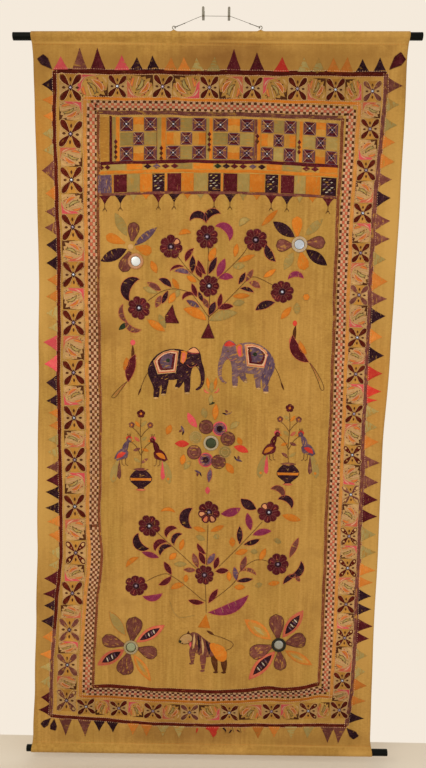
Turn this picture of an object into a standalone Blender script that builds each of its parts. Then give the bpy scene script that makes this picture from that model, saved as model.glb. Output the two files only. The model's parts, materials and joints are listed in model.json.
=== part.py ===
"""Appliqué wall hanging: a mustard cotton cloth between two dark rods, hung by a wire from two wall hooks.

Metres, +Z up, +X to the right seen from the front. The wall is the plane Y = 0 and the cloth hangs in front of
it, towards -Y. The origin is on the wall, midway between the two hooks, level with the tops of their arms.
"""

import math

import bmesh
import bpy
from mathutils import Vector

MM = 0.001
GAP = 0.3 * MM

# Cloth
CLOTH_THICKNESS = 1.6 * MM
HEM_LAP = 8.0 * MM
SEAM_BELOW_ROD = 20.0 * MM
POCKET_SLACK = 0.7 * MM
POCKET_STEPS = 12
SHEET_ROWS = 40
SHEET_COLUMNS = 30
FOLD_FADE = 130.0 * MM
EDGE_RIPPLE_REACH = 95.0 * MM

# Rods. A rod's height is its axis at X = 0, and its slope is the rise for each metre to the right.
ROD_RADIUS = 11.0 * MM
ROD_SIDES = 32
ROD_OUT = 30.0 * MM
TOP_ROD_HEIGHT = -52.9 * MM
TOP_ROD_SLOPE = 0.0107
TOP_ROD_SPAN = (-574.0 * MM, 582.0 * MM)
BOTTOM_ROD_HEIGHT = -2205.8 * MM
BOTTOM_ROD_SLOPE = 0.0074
BOTTOM_ROD_SPAN = (-571.0 * MM, 578.0 * MM)

# Screw eyes
EYE_X = {"left": -118.5 * MM, "right": 126.0 * MM}
EYE_WIRE_RADIUS = 1.2 * MM
EYE_RING_RADIUS = 4.2 * MM
EYE_ABOVE_ROD_AXIS = 23.2 * MM
EYE_SHANK_DEPTH = 0.5 * MM
EYE_HOLE_RADIUS = 1.7 * MM
EYE_BUMP_HEIGHT = 3.2 * MM
EYE_BUMP_REACH = 11.0 * MM

# Wall hooks, bent from flat strip
HOOK_X = {"left": -36.3 * MM, "right": 36.3 * MM}
HOOK_WIDTH = 7.0 * MM
HOOK_THICKNESS = 2.0 * MM
HOOK_REACH = 36.0 * MM
HOOK_BEND = 4.0 * MM
HOOK_BACK_TOP = 26.0 * MM
HOOK_TIP_TOP = 24.0 * MM

# Hanging wire
WIRE_RADIUS = 0.6 * MM
WIRE_SEAT = 0.95 * MM
WIRE_TURN = 2.6 * MM
WIRE_TAIL = 30.0 * MM
WIRE_LAY = 1.55 * MM
WIRE_STEP = 6.0 * MM

# Large mirrors and the rings that hold them, by their centres on the cloth
MIRRORS = {
    "1": (-225.1 * MM, -678.9 * MM),
    "2": (252.6 * MM, -624.1 * MM),
    "3": (3.4 * MM, -1214.0 * MM),
    "4": (-237.9 * MM, -1865.1 * MM),
    "5": (224.3 * MM, -1848.3 * MM),
}
MIRROR_RADIUS = 14.6 * MM
MIRROR_THICKNESS = 1.6 * MM
RING_OUTER = 23.0 * MM
RING_HALF_DEPTH = 1.9 * MM
SEWN_GAP = GAP
FLAT_SPOT = 34.0 * MM
FLAT_SPOT_FADE = 95.0 * MM

# The cloth's two side edges in mm: distance below the top rod's axis, then left and right X.
SIDE_EDGES = [
    {"down": -14.0, "left": -522.0, "right": 545.5},
    {"down": 70.0, "left": -517.0, "right": 541.0},
    {"down": 190.0, "left": -515.0, "right": 542.0},
    {"down": 430.0, "left": -512.5, "right": 539.0},
    {"down": 680.0, "left": -509.0, "right": 535.0},
    {"down": 890.0, "left": -514.5, "right": 532.0},
    {"down": 1190.0, "left": -521.5, "right": 520.0},
    {"down": 1470.0, "left": -526.0, "right": 520.5},
    {"down": 1700.0, "left": -534.5, "right": 518.0},
    {"down": 1930.0, "left": -541.5, "right": 520.0},
    {"down": 2100.0, "left": -549.5, "right": 522.0},
    {"down": 2167.0, "left": -555.5, "right": 529.5},
]

# Soft ridges and troughs in mm: X, highest and lowest Z, half width, and how far they stand forward.
FOLDS = [
    {"x": -118.0, "top": -80.0, "bottom": -430.0, "half": 48.0, "forward": 2.5},
    {"x": 126.0, "top": -80.0, "bottom": -360.0, "half": 44.0, "forward": 2.0},
    {"x": 10.0, "top": -90.0, "bottom": -330.0, "half": 90.0, "forward": -2.5},
    {"x": -332.0, "top": -200.0, "bottom": -2060.0, "half": 62.0, "forward": -4.0},
    {"x": 345.0, "top": -220.0, "bottom": -2060.0, "half": 62.0, "forward": -4.0},
    {"x": -185.0, "top": -760.0, "bottom": -1560.0, "half": 112.0, "forward": 4.5},
    {"x": -20.0, "top": -620.0, "bottom": -1120.0, "half": 95.0, "forward": -4.0},
    {"x": 140.0, "top": -800.0, "bottom": -1700.0, "half": 105.0, "forward": 4.5},
    {"x": -60.0, "top": -1330.0, "bottom": -1980.0, "half": 90.0, "forward": -3.5},
    {"x": 90.0, "top": -1650.0, "bottom": -2120.0, "half": 85.0, "forward": 3.5},
    {"x": -440.0, "top": -900.0, "bottom": -1700.0, "half": 70.0, "forward": 3.0},
    {"x": 450.0, "top": -500.0, "bottom": -1300.0, "half": 70.0, "forward": 3.0},
]

# Waves along the free side edges in mm: side, middle Z, half height, and how far they stand forward.
EDGE_RIPPLES = [
    {"side": "left", "z": -420.0, "half": 170.0, "forward": -4.0},
    {"side": "left", "z": -760.0, "half": 180.0, "forward": 5.0},
    {"side": "left", "z": -1110.0, "half": 170.0, "forward": -5.0},
    {"side": "left", "z": -1430.0, "half": 180.0, "forward": 5.0},
    {"side": "left", "z": -1760.0, "half": 150.0, "forward": -4.0},
    {"side": "right", "z": -600.0, "half": 200.0, "forward": 5.0},
    {"side": "right", "z": -960.0, "half": 170.0, "forward": -5.0},
    {"side": "right", "z": -1260.0, "half": 130.0, "forward": 3.5},
    {"side": "right", "z": -1640.0, "half": 220.0, "forward": 5.0},
]


def smooth(t):
    """Goes from 0 to 1 with no corner at either end."""
    t = min(1.0, max(0.0, t))
    return t * t * (3.0 - 2.0 * t)


def hump(distance, half):
    """1 in the middle, 0 at half and beyond."""
    if abs(distance) >= half:
        return 0.0
    return math.cos(0.5 * math.pi * distance / half) ** 2


def mix(a, b, t):
    return a + (b - a) * t


def rod_height(rod, x):
    if rod == "top":
        return TOP_ROD_HEIGHT + TOP_ROD_SLOPE * x
    return BOTTOM_ROD_HEIGHT + BOTTOM_ROD_SLOPE * x


def side_edges(down):
    """Left and right X of the cloth at a distance below the top rod's axis, eased between the rows."""
    rows = SIDE_EDGES
    below = down / MM
    if below <= rows[0]["down"]:
        return rows[0]["left"] * MM, rows[0]["right"] * MM
    for upper, lower in zip(rows, rows[1:]):
        if below <= lower["down"]:
            t = smooth((below - upper["down"]) / (lower["down"] - upper["down"]))
            return mix(upper["left"], lower["left"], t) * MM, mix(upper["right"], lower["right"], t) * MM
    return rows[-1]["left"] * MM, rows[-1]["right"] * MM


def loose_folds(x, z):
    """How far the ridges, troughs and edge waves carry the cloth forward at (x, z), before any mirror stiffens it."""
    forward = 0.0
    for fold in FOLDS:
        middle = 0.5 * (fold["top"] + fold["bottom"]) * MM
        length = 0.5 * (fold["top"] - fold["bottom"]) * MM
        forward += fold["forward"] * MM * hump(x - fold["x"] * MM, fold["half"] * MM) * hump(z - middle, length)
    left, right = side_edges(TOP_ROD_HEIGHT - z)
    for ripple in EDGE_RIPPLES:
        inward = x - left if ripple["side"] == "left" else right - x
        reach = hump(min(max(inward, 0.0), EDGE_RIPPLE_REACH), EDGE_RIPPLE_REACH)
        forward += ripple["forward"] * MM * reach * hump(z - ripple["z"] * MM, ripple["half"] * MM)
    return forward


def folds(x, z):
    """The folds with a flat spot behind each large mirror."""
    forward = loose_folds(x, z)
    for centre_x, centre_z in MIRRORS.values():
        distance = math.hypot(x - centre_x, z - centre_z)
        held = 1.0 - smooth((distance - FLAT_SPOT) / FLAT_SPOT_FADE)
        if held > 0.0:
            forward = mix(forward, loose_folds(centre_x, centre_z), held)
    return forward


def sheet_y(x, z):
    """Y of the middle of the cloth's thickness between the two seams."""
    below = rod_height("top", x) - SEAM_BELOW_ROD - z
    above = z - rod_height("bottom", x) - SEAM_BELOW_ROD
    fade = smooth(min(below, above) / FOLD_FADE)
    return -ROD_OUT - 0.5 * (CLOTH_THICKNESS + GAP) - fade * folds(x, z)


def pocket_profile():
    """Middle of the cloth round a rod as (out, up) from its axis, from the hem's end behind to the seam in front."""
    radius = ROD_RADIUS + POCKET_SLACK + 0.5 * CLOTH_THICKNESS
    lap = 0.5 * (CLOTH_THICKNESS + GAP)
    reach = math.hypot(lap, SEAM_BELOW_ROD)
    start = math.acos(radius / reach) + math.atan2(lap, SEAM_BELOW_ROD)
    points = [(-lap, -SEAM_BELOW_ROD - HEM_LAP), (-lap, -SEAM_BELOW_ROD)]
    for step in range(POCKET_STEPS + 1):
        angle = mix(start, 2.0 * math.pi - start, step / POCKET_STEPS)
        points.append((-radius * math.sin(angle), -radius * math.cos(angle)))
    points.append((lap, -SEAM_BELOW_ROD))
    return points


def eye_bump(x, up):
    """How far a screw eye's shank has drawn the top of the pocket up at x."""
    if up <= 0.0:
        return 0.0
    return max(EYE_BUMP_HEIGHT * hump(x - eye, EYE_BUMP_REACH) for eye in EYE_X.values()) * up / ROD_RADIUS


def column_places():
    """Places across the cloth from 0 to 1: even ones, with closer ones at the two screw eyes."""
    left, right = side_edges(0.0)
    places = [column / SHEET_COLUMNS for column in range(SHEET_COLUMNS + 1)]
    near = 1.2 * EYE_BUMP_REACH / (right - left)
    for eye in EYE_X.values():
        middle = (eye - left) / (right - left)
        places = [place for place in places if abs(place - middle) > near]
        places += [middle + side * EYE_BUMP_REACH / (right - left) for side in (-1.0, -0.5, 0.0, 0.5, 1.0)]
    return sorted(places)


def cloth_point(place, row, profile):
    """A point of the cloth's middle surface: place goes from 0 to 1 across, rows run from hem to hem."""
    last_of_top = len(profile) - 1
    first_of_bottom = last_of_top + SHEET_ROWS
    if row <= last_of_top or row >= first_of_bottom:
        rod = "top" if row <= last_of_top else "bottom"
        out, up = profile[row] if rod == "top" else profile[last_of_top + first_of_bottom - row]
        flip = 1.0 if rod == "top" else -1.0
        axis = TOP_ROD_HEIGHT if rod == "top" else BOTTOM_ROD_HEIGHT
        left, right = side_edges(TOP_ROD_HEIGHT - axis - flip * up)
        x = mix(left, right, place)
        lift = eye_bump(x, up) if rod == "top" else 0.0
        return Vector((x, -ROD_OUT - out, rod_height(rod, x) + flip * up + lift))
    share = (row - last_of_top) / SHEET_ROWS
    top = TOP_ROD_HEIGHT - SEAM_BELOW_ROD
    bottom = BOTTOM_ROD_HEIGHT + SEAM_BELOW_ROD
    left, right = side_edges(TOP_ROD_HEIGHT - mix(top, bottom, share))
    x = mix(left, right, place)
    z = mix(rod_height("top", x) - SEAM_BELOW_ROD, rod_height("bottom", x) + SEAM_BELOW_ROD, share)
    return Vector((x, sheet_y(x, z), z))


def material(name, colour, roughness, metallic=0.0):
    made = bpy.data.materials.new(name)
    made.use_nodes = True
    shader = made.node_tree.nodes["Principled BSDF"]
    shader.inputs["Base Color"].default_value = (*colour, 1.0)
    shader.inputs["Roughness"].default_value = roughness
    shader.inputs["Metallic"].default_value = metallic
    return made


def adopt(obj, name, collection, finish=None):
    """Names an object, moves it to its collection and gives it its material."""
    obj.name = name
    for old in list(obj.users_collection):
        old.objects.unlink(obj)
    collection.objects.link(obj)
    if finish is not None:
        obj.data.materials.append(finish)
    return obj


def object_from_bmesh(bm, name, collection, finish):
    mesh = bpy.data.meshes.new(name)
    bm.to_mesh(mesh)
    bm.free()
    return adopt(bpy.data.objects.new(name, mesh), name, collection, finish)


def solidify(obj, thickness):
    modifier = obj.modifiers.new("Thickness", "SOLIDIFY")
    modifier.thickness = thickness
    modifier.offset = 0.0
    modifier.use_even_offset = True


def bevel(obj, width, segments):
    modifier = obj.modifiers.new("Edge", "BEVEL")
    modifier.width = width
    modifier.segments = segments
    modifier.limit_method = "ANGLE"
    modifier.angle_limit = math.radians(50.0)


def cut(obj, cutter):
    modifier = obj.modifiers.new("Hole", "BOOLEAN")
    modifier.operation = "DIFFERENCE"
    modifier.object = cutter


def smooth_shaded(obj, degrees=40.0):
    obj.data.shade_smooth()
    obj.data.set_sharp_from_angle(angle=math.radians(degrees))
    return obj


def tube(name, points, radius, collection, finish):
    """A round wire along a list of points, with closed ends."""
    curve = bpy.data.curves.new(name, "CURVE")
    curve.dimensions = "3D"
    curve.bevel_depth = radius
    curve.bevel_resolution = 2
    curve.use_fill_caps = True
    spline = curve.splines.new("POLY")
    spline.points.add(len(points) - 1)
    for place, point in zip(spline.points, points):
        place.co = (*point, 1.0)
    return adopt(bpy.data.objects.new(name, curve), name, collection, finish)


def smooth_route(points, step):
    """Points read every step or so from a smooth curve through the route's own points."""
    ends = [points[0] * 2.0 - points[1]] + points + [points[-1] * 2.0 - points[-2]]
    route = []
    for before, start, end, after in zip(ends, ends[1:], ends[2:], ends[3:]):
        parts = max(1, round((end - start).length / step))
        first = (end - before) * 0.5
        last = (after - start) * 0.5
        span = (end - start).length
        if first.length > span:
            first *= span / first.length
        if last.length > span:
            last *= span / last.length
        for part in range(parts):
            t = part / parts
            route.append(
                start * (2 * t**3 - 3 * t**2 + 1)
                + first * (t**3 - 2 * t**2 + t)
                + end * (3 * t**2 - 2 * t**3)
                + last * (t**3 - t**2)
            )
    return route + [points[-1]]


def shank_cutters(collection):
    """One upright cutter for each screw eye, through the pocket's top and into the rod."""
    cutters = []
    for side, x in EYE_X.items():
        axis = rod_height("top", x)
        bottom = axis - EYE_SHANK_DEPTH - 1.5 * MM
        top = axis + EYE_ABOVE_ROD_AXIS
        bpy.ops.mesh.primitive_cylinder_add(
            vertices=12, radius=EYE_HOLE_RADIUS, depth=top - bottom, location=(x, -ROD_OUT, 0.5 * (top + bottom))
        )
        cutter = adopt(bpy.context.object, "shank_hole_" + side, collection)
        cutter.hide_render = True
        cutter.display_type = "WIRE"
        cutters.append(cutter)
    return cutters


def build_cloth(collection, cutters, finish):
    profile = pocket_profile()
    places = column_places()
    rows = 2 * (len(profile) - 1) + SHEET_ROWS
    columns = len(places) - 1
    bm = bmesh.new()
    bmesh.ops.create_grid(bm, x_segments=columns, y_segments=rows, size=0.5)
    for vertex in bm.verts:
        column = round((vertex.co.x + 0.5) * columns)
        row = round((0.5 - vertex.co.y) * rows)
        vertex.co = cloth_point(places[column], row, profile)
    cloth = object_from_bmesh(bm, "cloth", collection, finish)
    cloth.data.shade_smooth()
    solidify(cloth, CLOTH_THICKNESS)
    for cutter in cutters:
        cut(cloth, cutter)
    return cloth


def build_rod(rod, span, collection, cutters, finish):
    left, right = span
    start = Vector((left, -ROD_OUT, rod_height(rod, left)))
    end = Vector((right, -ROD_OUT, rod_height(rod, right)))
    along = end - start
    bpy.ops.mesh.primitive_cylinder_add(vertices=ROD_SIDES, radius=ROD_RADIUS, depth=along.length)
    dowel = adopt(bpy.context.object, rod + "_rod", collection, finish)
    dowel.location = 0.5 * (start + end)
    dowel.rotation_euler = along.to_track_quat("Z", "X").to_euler()
    bevel(dowel, 0.8 * MM, 2)
    for cutter in cutters:
        cut(dowel, cutter)
    return smooth_shaded(dowel)


def build_screw_eye(side, collection, finish):
    """A shank that turns into an eye lying square to the wall, its end just short of the shank."""
    x = EYE_X[side]
    axis = rod_height("top", x)
    centre = Vector((x, -ROD_OUT, axis + EYE_ABOVE_ROD_AXIS))
    hand = 1.0 if side == "left" else -1.0
    points = [
        Vector((x, -ROD_OUT, axis - EYE_SHANK_DEPTH)),
        centre + Vector((0.0, 0.0, -EYE_RING_RADIUS - 6.0 * MM)),
        centre + Vector((0.0, 0.0, -EYE_RING_RADIUS - 3.0 * MM)),
        centre + Vector((-hand * 0.5 * MM, 0.0, -EYE_RING_RADIUS - 1.4 * MM)),
    ]
    for degrees in range(-55, 226, 14):
        angle = math.radians(degrees)
        round_ring = Vector((-hand * math.cos(angle), 0.0, math.sin(angle)))
        points.append(centre + round_ring * EYE_RING_RADIUS)
    return tube("screw_eye_" + side, points, EYE_WIRE_RADIUS, collection, finish)


def build_wall_hook(side, collection, finish):
    """A strip that runs down the wall, out as an arm and up to its tip, with rounded ends."""
    middle = 0.5 * HOOK_THICKNESS
    path = [(middle, HOOK_BACK_TOP - drop * MM, share) for drop, share in ((0.0, 0.35), (0.9, 0.75), (3.0, 1.0))]
    for degrees in (0, 22.5, 45, 67.5, 90):
        angle = math.radians(degrees)
        out = middle + HOOK_BEND * (1.0 - math.cos(angle))
        path.append((out, -middle + HOOK_BEND * (1.0 - math.sin(angle)), 1.0))
    for degrees in (0, 22.5, 45, 67.5, 90):
        angle = math.radians(degrees)
        out = HOOK_REACH - HOOK_BEND * (1.0 - math.sin(angle))
        path.append((out, -middle + HOOK_BEND * (1.0 - math.cos(angle)), 1.0))
    for drop, share in ((3.0, 1.0), (0.9, 0.75), (0.0, 0.35)):
        path.append((HOOK_REACH, HOOK_TIP_TOP - drop * MM, share))
    bm = bmesh.new()
    bmesh.ops.create_grid(bm, x_segments=1, y_segments=len(path) - 1, size=0.5)
    for vertex in bm.verts:
        out, up, share = path[round((0.5 - vertex.co.y) * (len(path) - 1))]
        vertex.co = Vector((HOOK_X[side] + vertex.co.x * HOOK_WIDTH * share, -out, up))
    hook = object_from_bmesh(bm, "wall_hook_" + side, collection, finish)
    solidify(hook, HOOK_THICKNESS)
    return smooth_shaded(hook)


def eye_turn(side):
    """The wire's own points at one eye, from the end of its tail, round the ring and out along the pull."""
    x = EYE_X[side]
    hand = 1.0 if side == "left" else -1.0
    centre = Vector((x, -ROD_OUT, rod_height("top", x) + EYE_ABOVE_ROD_AXIS))
    hook_edge = Vector((HOOK_X[side] - hand * 0.5 * HOOK_WIDTH, -ROD_OUT, WIRE_SEAT))
    pull = (hook_edge - centre).normalized()
    ring = EYE_RING_RADIUS
    tail = [(WIRE_TAIL, WIRE_LAY), (20.0 * MM, WIRE_LAY), (13.0 * MM, WIRE_LAY + 0.1 * MM), (6.0 * MM, 2.3 * MM)]
    turn = []
    for degrees in (90, 120, 150, 180, 210, 240, 270):
        angle = math.radians(degrees)
        turn.append((WIRE_TURN * math.cos(angle), WIRE_TURN * math.sin(angle)))
    lead = [(6.0 * MM, -1.7 * MM), (12.0 * MM, -0.5 * MM), (19.0 * MM, 0.0)]
    return [centre + pull * (ring + along) + Vector((0.0, out, 0.0)) for along, out in tail + turn + lead]


def build_wire(collection, finish):
    over_hooks = []
    for side in ("left", "right"):
        for edge in (-0.5, 0.0, 0.5):
            over_hooks.append(Vector((HOOK_X[side] + edge * HOOK_WIDTH, -ROD_OUT, WIRE_SEAT)))
    route = eye_turn("left") + over_hooks + eye_turn("right")[::-1]
    return tube("hanging_wire", smooth_route(route, WIRE_STEP), WIRE_RADIUS, collection, finish)


def build_mirror(number, collection, glass, thread):
    x, z = MIRRORS[number]
    front = sheet_y(x, z) - 0.5 * CLOTH_THICKNESS - SEWN_GAP
    upright = (0.5 * math.pi, 0.0, 0.0)
    bpy.ops.mesh.primitive_cylinder_add(
        vertices=24, radius=MIRROR_RADIUS, depth=MIRROR_THICKNESS,
        location=(x, front - 0.5 * MIRROR_THICKNESS, z), rotation=upright,
    )
    smooth_shaded(adopt(bpy.context.object, "mirror_" + number, collection, glass))
    inner = MIRROR_RADIUS + GAP
    half_width = 0.5 * (RING_OUTER - inner)
    bpy.ops.mesh.primitive_torus_add(
        major_radius=inner + half_width, minor_radius=half_width, major_segments=24, minor_segments=8,
        location=(x, front - RING_HALF_DEPTH, z), rotation=upright,
    )
    ring = adopt(bpy.context.object, "mirror_ring_" + number, collection, thread)
    ring.scale = (1.0, 1.0, RING_HALF_DEPTH / half_width)
    smooth_shaded(ring)


def main():
    for obj in list(bpy.data.objects):
        bpy.data.objects.remove(obj, do_unlink=True)
    parts = bpy.data.collections.new("wall_hanging")
    guides = bpy.data.collections.new("cutters")
    bpy.context.scene.collection.children.link(parts)
    bpy.context.scene.collection.children.link(guides)

    mustard = material("mustard_cotton", (0.42, 0.26, 0.07), 0.95)
    dark_paint = material("dark_painted_wood", (0.012, 0.018, 0.016), 0.35)
    steel = material("zinc_plated_steel", (0.45, 0.46, 0.42), 0.4, 0.9)
    wire_steel = material("braided_steel_wire", (0.35, 0.33, 0.28), 0.45, 0.9)
    glass = material("mirror_glass", (0.8, 0.84, 0.85), 0.08, 0.9)
    thread = material("ring_thread", (0.75, 0.55, 0.35), 0.85)

    cutters = shank_cutters(guides)
    build_cloth(parts, cutters, mustard)
    build_rod("top", TOP_ROD_SPAN, parts, cutters, dark_paint)
    build_rod("bottom", BOTTOM_ROD_SPAN, parts, [], dark_paint)
    for side in ("left", "right"):
        build_screw_eye(side, parts, steel)
        build_wall_hook(side, parts, steel)
    build_wire(parts, wire_steel)
    for number in MIRRORS:
        build_mirror(number, parts, glass, thread)


main()
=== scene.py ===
"""Looks of the appliqué wall hanging: cloth, sewn patchwork, mirrors, rods, hanging wire and wall hooks.

Metres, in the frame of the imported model: +X to the right seen from the front, +Y into the wall, +Z up.
"""

import json
import logging
import math
import random
from dataclasses import dataclass, field
from enum import Enum
from typing import Any, Callable, Iterable

import bmesh
import bpy
import numpy as np
from mathutils import Euler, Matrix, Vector
from mathutils.geometry import delaunay_2d_cdt

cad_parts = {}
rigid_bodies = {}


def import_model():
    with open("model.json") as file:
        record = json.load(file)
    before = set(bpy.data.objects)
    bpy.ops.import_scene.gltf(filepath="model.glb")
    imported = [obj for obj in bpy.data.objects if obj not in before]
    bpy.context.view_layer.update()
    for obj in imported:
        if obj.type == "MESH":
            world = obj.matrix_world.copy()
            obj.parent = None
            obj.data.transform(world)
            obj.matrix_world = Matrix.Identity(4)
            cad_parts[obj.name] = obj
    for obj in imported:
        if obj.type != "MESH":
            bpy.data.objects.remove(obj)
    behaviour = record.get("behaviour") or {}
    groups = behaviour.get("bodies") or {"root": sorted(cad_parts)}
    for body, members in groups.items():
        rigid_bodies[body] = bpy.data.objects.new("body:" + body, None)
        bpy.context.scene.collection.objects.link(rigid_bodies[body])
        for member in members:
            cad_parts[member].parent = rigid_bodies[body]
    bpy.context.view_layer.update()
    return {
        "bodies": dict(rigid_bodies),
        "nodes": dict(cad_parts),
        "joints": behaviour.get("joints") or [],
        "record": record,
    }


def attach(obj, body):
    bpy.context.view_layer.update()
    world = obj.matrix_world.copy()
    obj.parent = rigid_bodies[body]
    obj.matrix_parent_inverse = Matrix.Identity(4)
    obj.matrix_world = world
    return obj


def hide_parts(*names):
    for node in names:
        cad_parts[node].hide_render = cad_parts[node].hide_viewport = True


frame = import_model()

log = logging.getLogger("wall_hanging")

MM = 0.001
TAU = 2.0 * math.pi


class Side(Enum):
    """The four sides of a border."""

    LEFT = "left"
    RIGHT = "right"
    TOP = "top"
    BOTTOM = "bottom"


class Dye(Enum):
    """The dyed cottons and threads: deep colour, worn colour and how much of the ground shows through."""

    MAROON = ("3E0A10", "75303A", 0.11)
    OXBLOOD = ("430D07", "762F1F", 0.10)
    NAVY = ("1A0711", "4E2F3A", 0.15)
    MAUVE = ("5C2C2B", "966353", 0.24)
    RUSSET = ("62301F", "9C613E", 0.20)
    LAVENDER = ("463149", "866D78", 0.24)
    SLATE = ("5A4150", "9A7C78", 0.27)
    MAGENTA = ("6E1D41", "A14A64", 0.14)
    PINK = ("CC4653", "E0736B", 0.16)
    RED = ("BC2F28", "D8543F", 0.12)
    ORANGE = ("BD6A1C", "D38C3B", 0.22)
    AMBER = ("C4722A", "D58E48", 0.26)
    APRICOT = ("C07C3A", "D09A58", 0.34)
    OCHRE = ("B57F33", "CB9B52", 0.30)
    SAGE = ("A18F55", "B9A66C", 0.36)
    OLIVE = ("907B44", "AE965C", 0.26)
    SALMON = ("B9553E", "D98465", 0.22)
    PEACH = ("C8865A", "DDA67C", 0.14)
    BLUSH = ("C89A78", "E6C29E", 0.12)
    ECRU = ("B58E5A", "D2B07C", 0.22)
    TAN = ("96692B", "AE7D39", 0.30)
    PEARL = ("AEA592", "DED6C3", 0.10)
    BOTTLE = ("1A2417", "3D4A33", 0.08)
    BARK = ("44230F", "6B422A", 0.08)


def smooth(t: np.ndarray) -> np.ndarray:
    """Goes from 0 to 1 with no corner at either end."""
    t = np.clip(t, 0.0, 1.0)
    return t * t * (3.0 - 2.0 * t)


def hump(distance: np.ndarray, half: float) -> np.ndarray:
    """1 in the middle, 0 at half and beyond."""
    distance = np.asarray(distance, float)
    return np.where(np.abs(distance) < half, np.cos(0.5 * math.pi * distance / half) ** 2, 0.0)


def mix(a: Any, b: Any, t: Any) -> Any:
    """The value a share t of the way from a to b."""
    return a + (b - a) * t


@dataclass(frozen=True)
class EdgeRow:
    """Left and right X of the cloth at a distance below the top rod, in mm."""

    down: float
    left: float
    right: float


@dataclass(frozen=True)
class Fold:
    """A soft upright ridge or trough, in mm."""

    x: float
    top: float
    bottom: float
    half: float
    forward: float


@dataclass(frozen=True)
class Ripple:
    """A wave along a free side edge, in mm."""

    side: Side
    z: float
    half: float
    forward: float


SIDE_EDGES = (
    EdgeRow(-14.0, -522.0, 545.5), EdgeRow(70.0, -517.0, 541.0), EdgeRow(190.0, -515.0, 542.0),
    EdgeRow(430.0, -512.5, 539.0), EdgeRow(680.0, -509.0, 535.0), EdgeRow(890.0, -514.5, 532.0),
    EdgeRow(1190.0, -521.5, 520.0), EdgeRow(1470.0, -526.0, 520.5), EdgeRow(1700.0, -534.5, 518.0),
    EdgeRow(1930.0, -541.5, 520.0), EdgeRow(2100.0, -549.5, 522.0), EdgeRow(2167.0, -555.5, 529.5),
)

FOLDS = (
    Fold(-118.0, -80.0, -430.0, 48.0, 2.5), Fold(126.0, -80.0, -360.0, 44.0, 2.0),
    Fold(10.0, -90.0, -330.0, 90.0, -2.5), Fold(-332.0, -200.0, -2060.0, 62.0, -4.0),
    Fold(345.0, -220.0, -2060.0, 62.0, -4.0), Fold(-185.0, -760.0, -1560.0, 112.0, 4.5),
    Fold(-20.0, -620.0, -1120.0, 95.0, -4.0), Fold(140.0, -800.0, -1700.0, 105.0, 4.5),
    Fold(-60.0, -1330.0, -1980.0, 90.0, -3.5), Fold(90.0, -1650.0, -2120.0, 85.0, 3.5),
    Fold(-440.0, -900.0, -1700.0, 70.0, 3.0), Fold(450.0, -500.0, -1300.0, 70.0, 3.0),
)

EDGE_RIPPLES = (
    Ripple(Side.LEFT, -420.0, 170.0, -4.0), Ripple(Side.LEFT, -760.0, 180.0, 5.0),
    Ripple(Side.LEFT, -1110.0, 170.0, -5.0), Ripple(Side.LEFT, -1430.0, 180.0, 5.0),
    Ripple(Side.LEFT, -1760.0, 150.0, -4.0), Ripple(Side.RIGHT, -600.0, 200.0, 5.0),
    Ripple(Side.RIGHT, -960.0, 170.0, -5.0), Ripple(Side.RIGHT, -1260.0, 130.0, 3.5),
    Ripple(Side.RIGHT, -1640.0, 220.0, 5.0),
)


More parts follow.
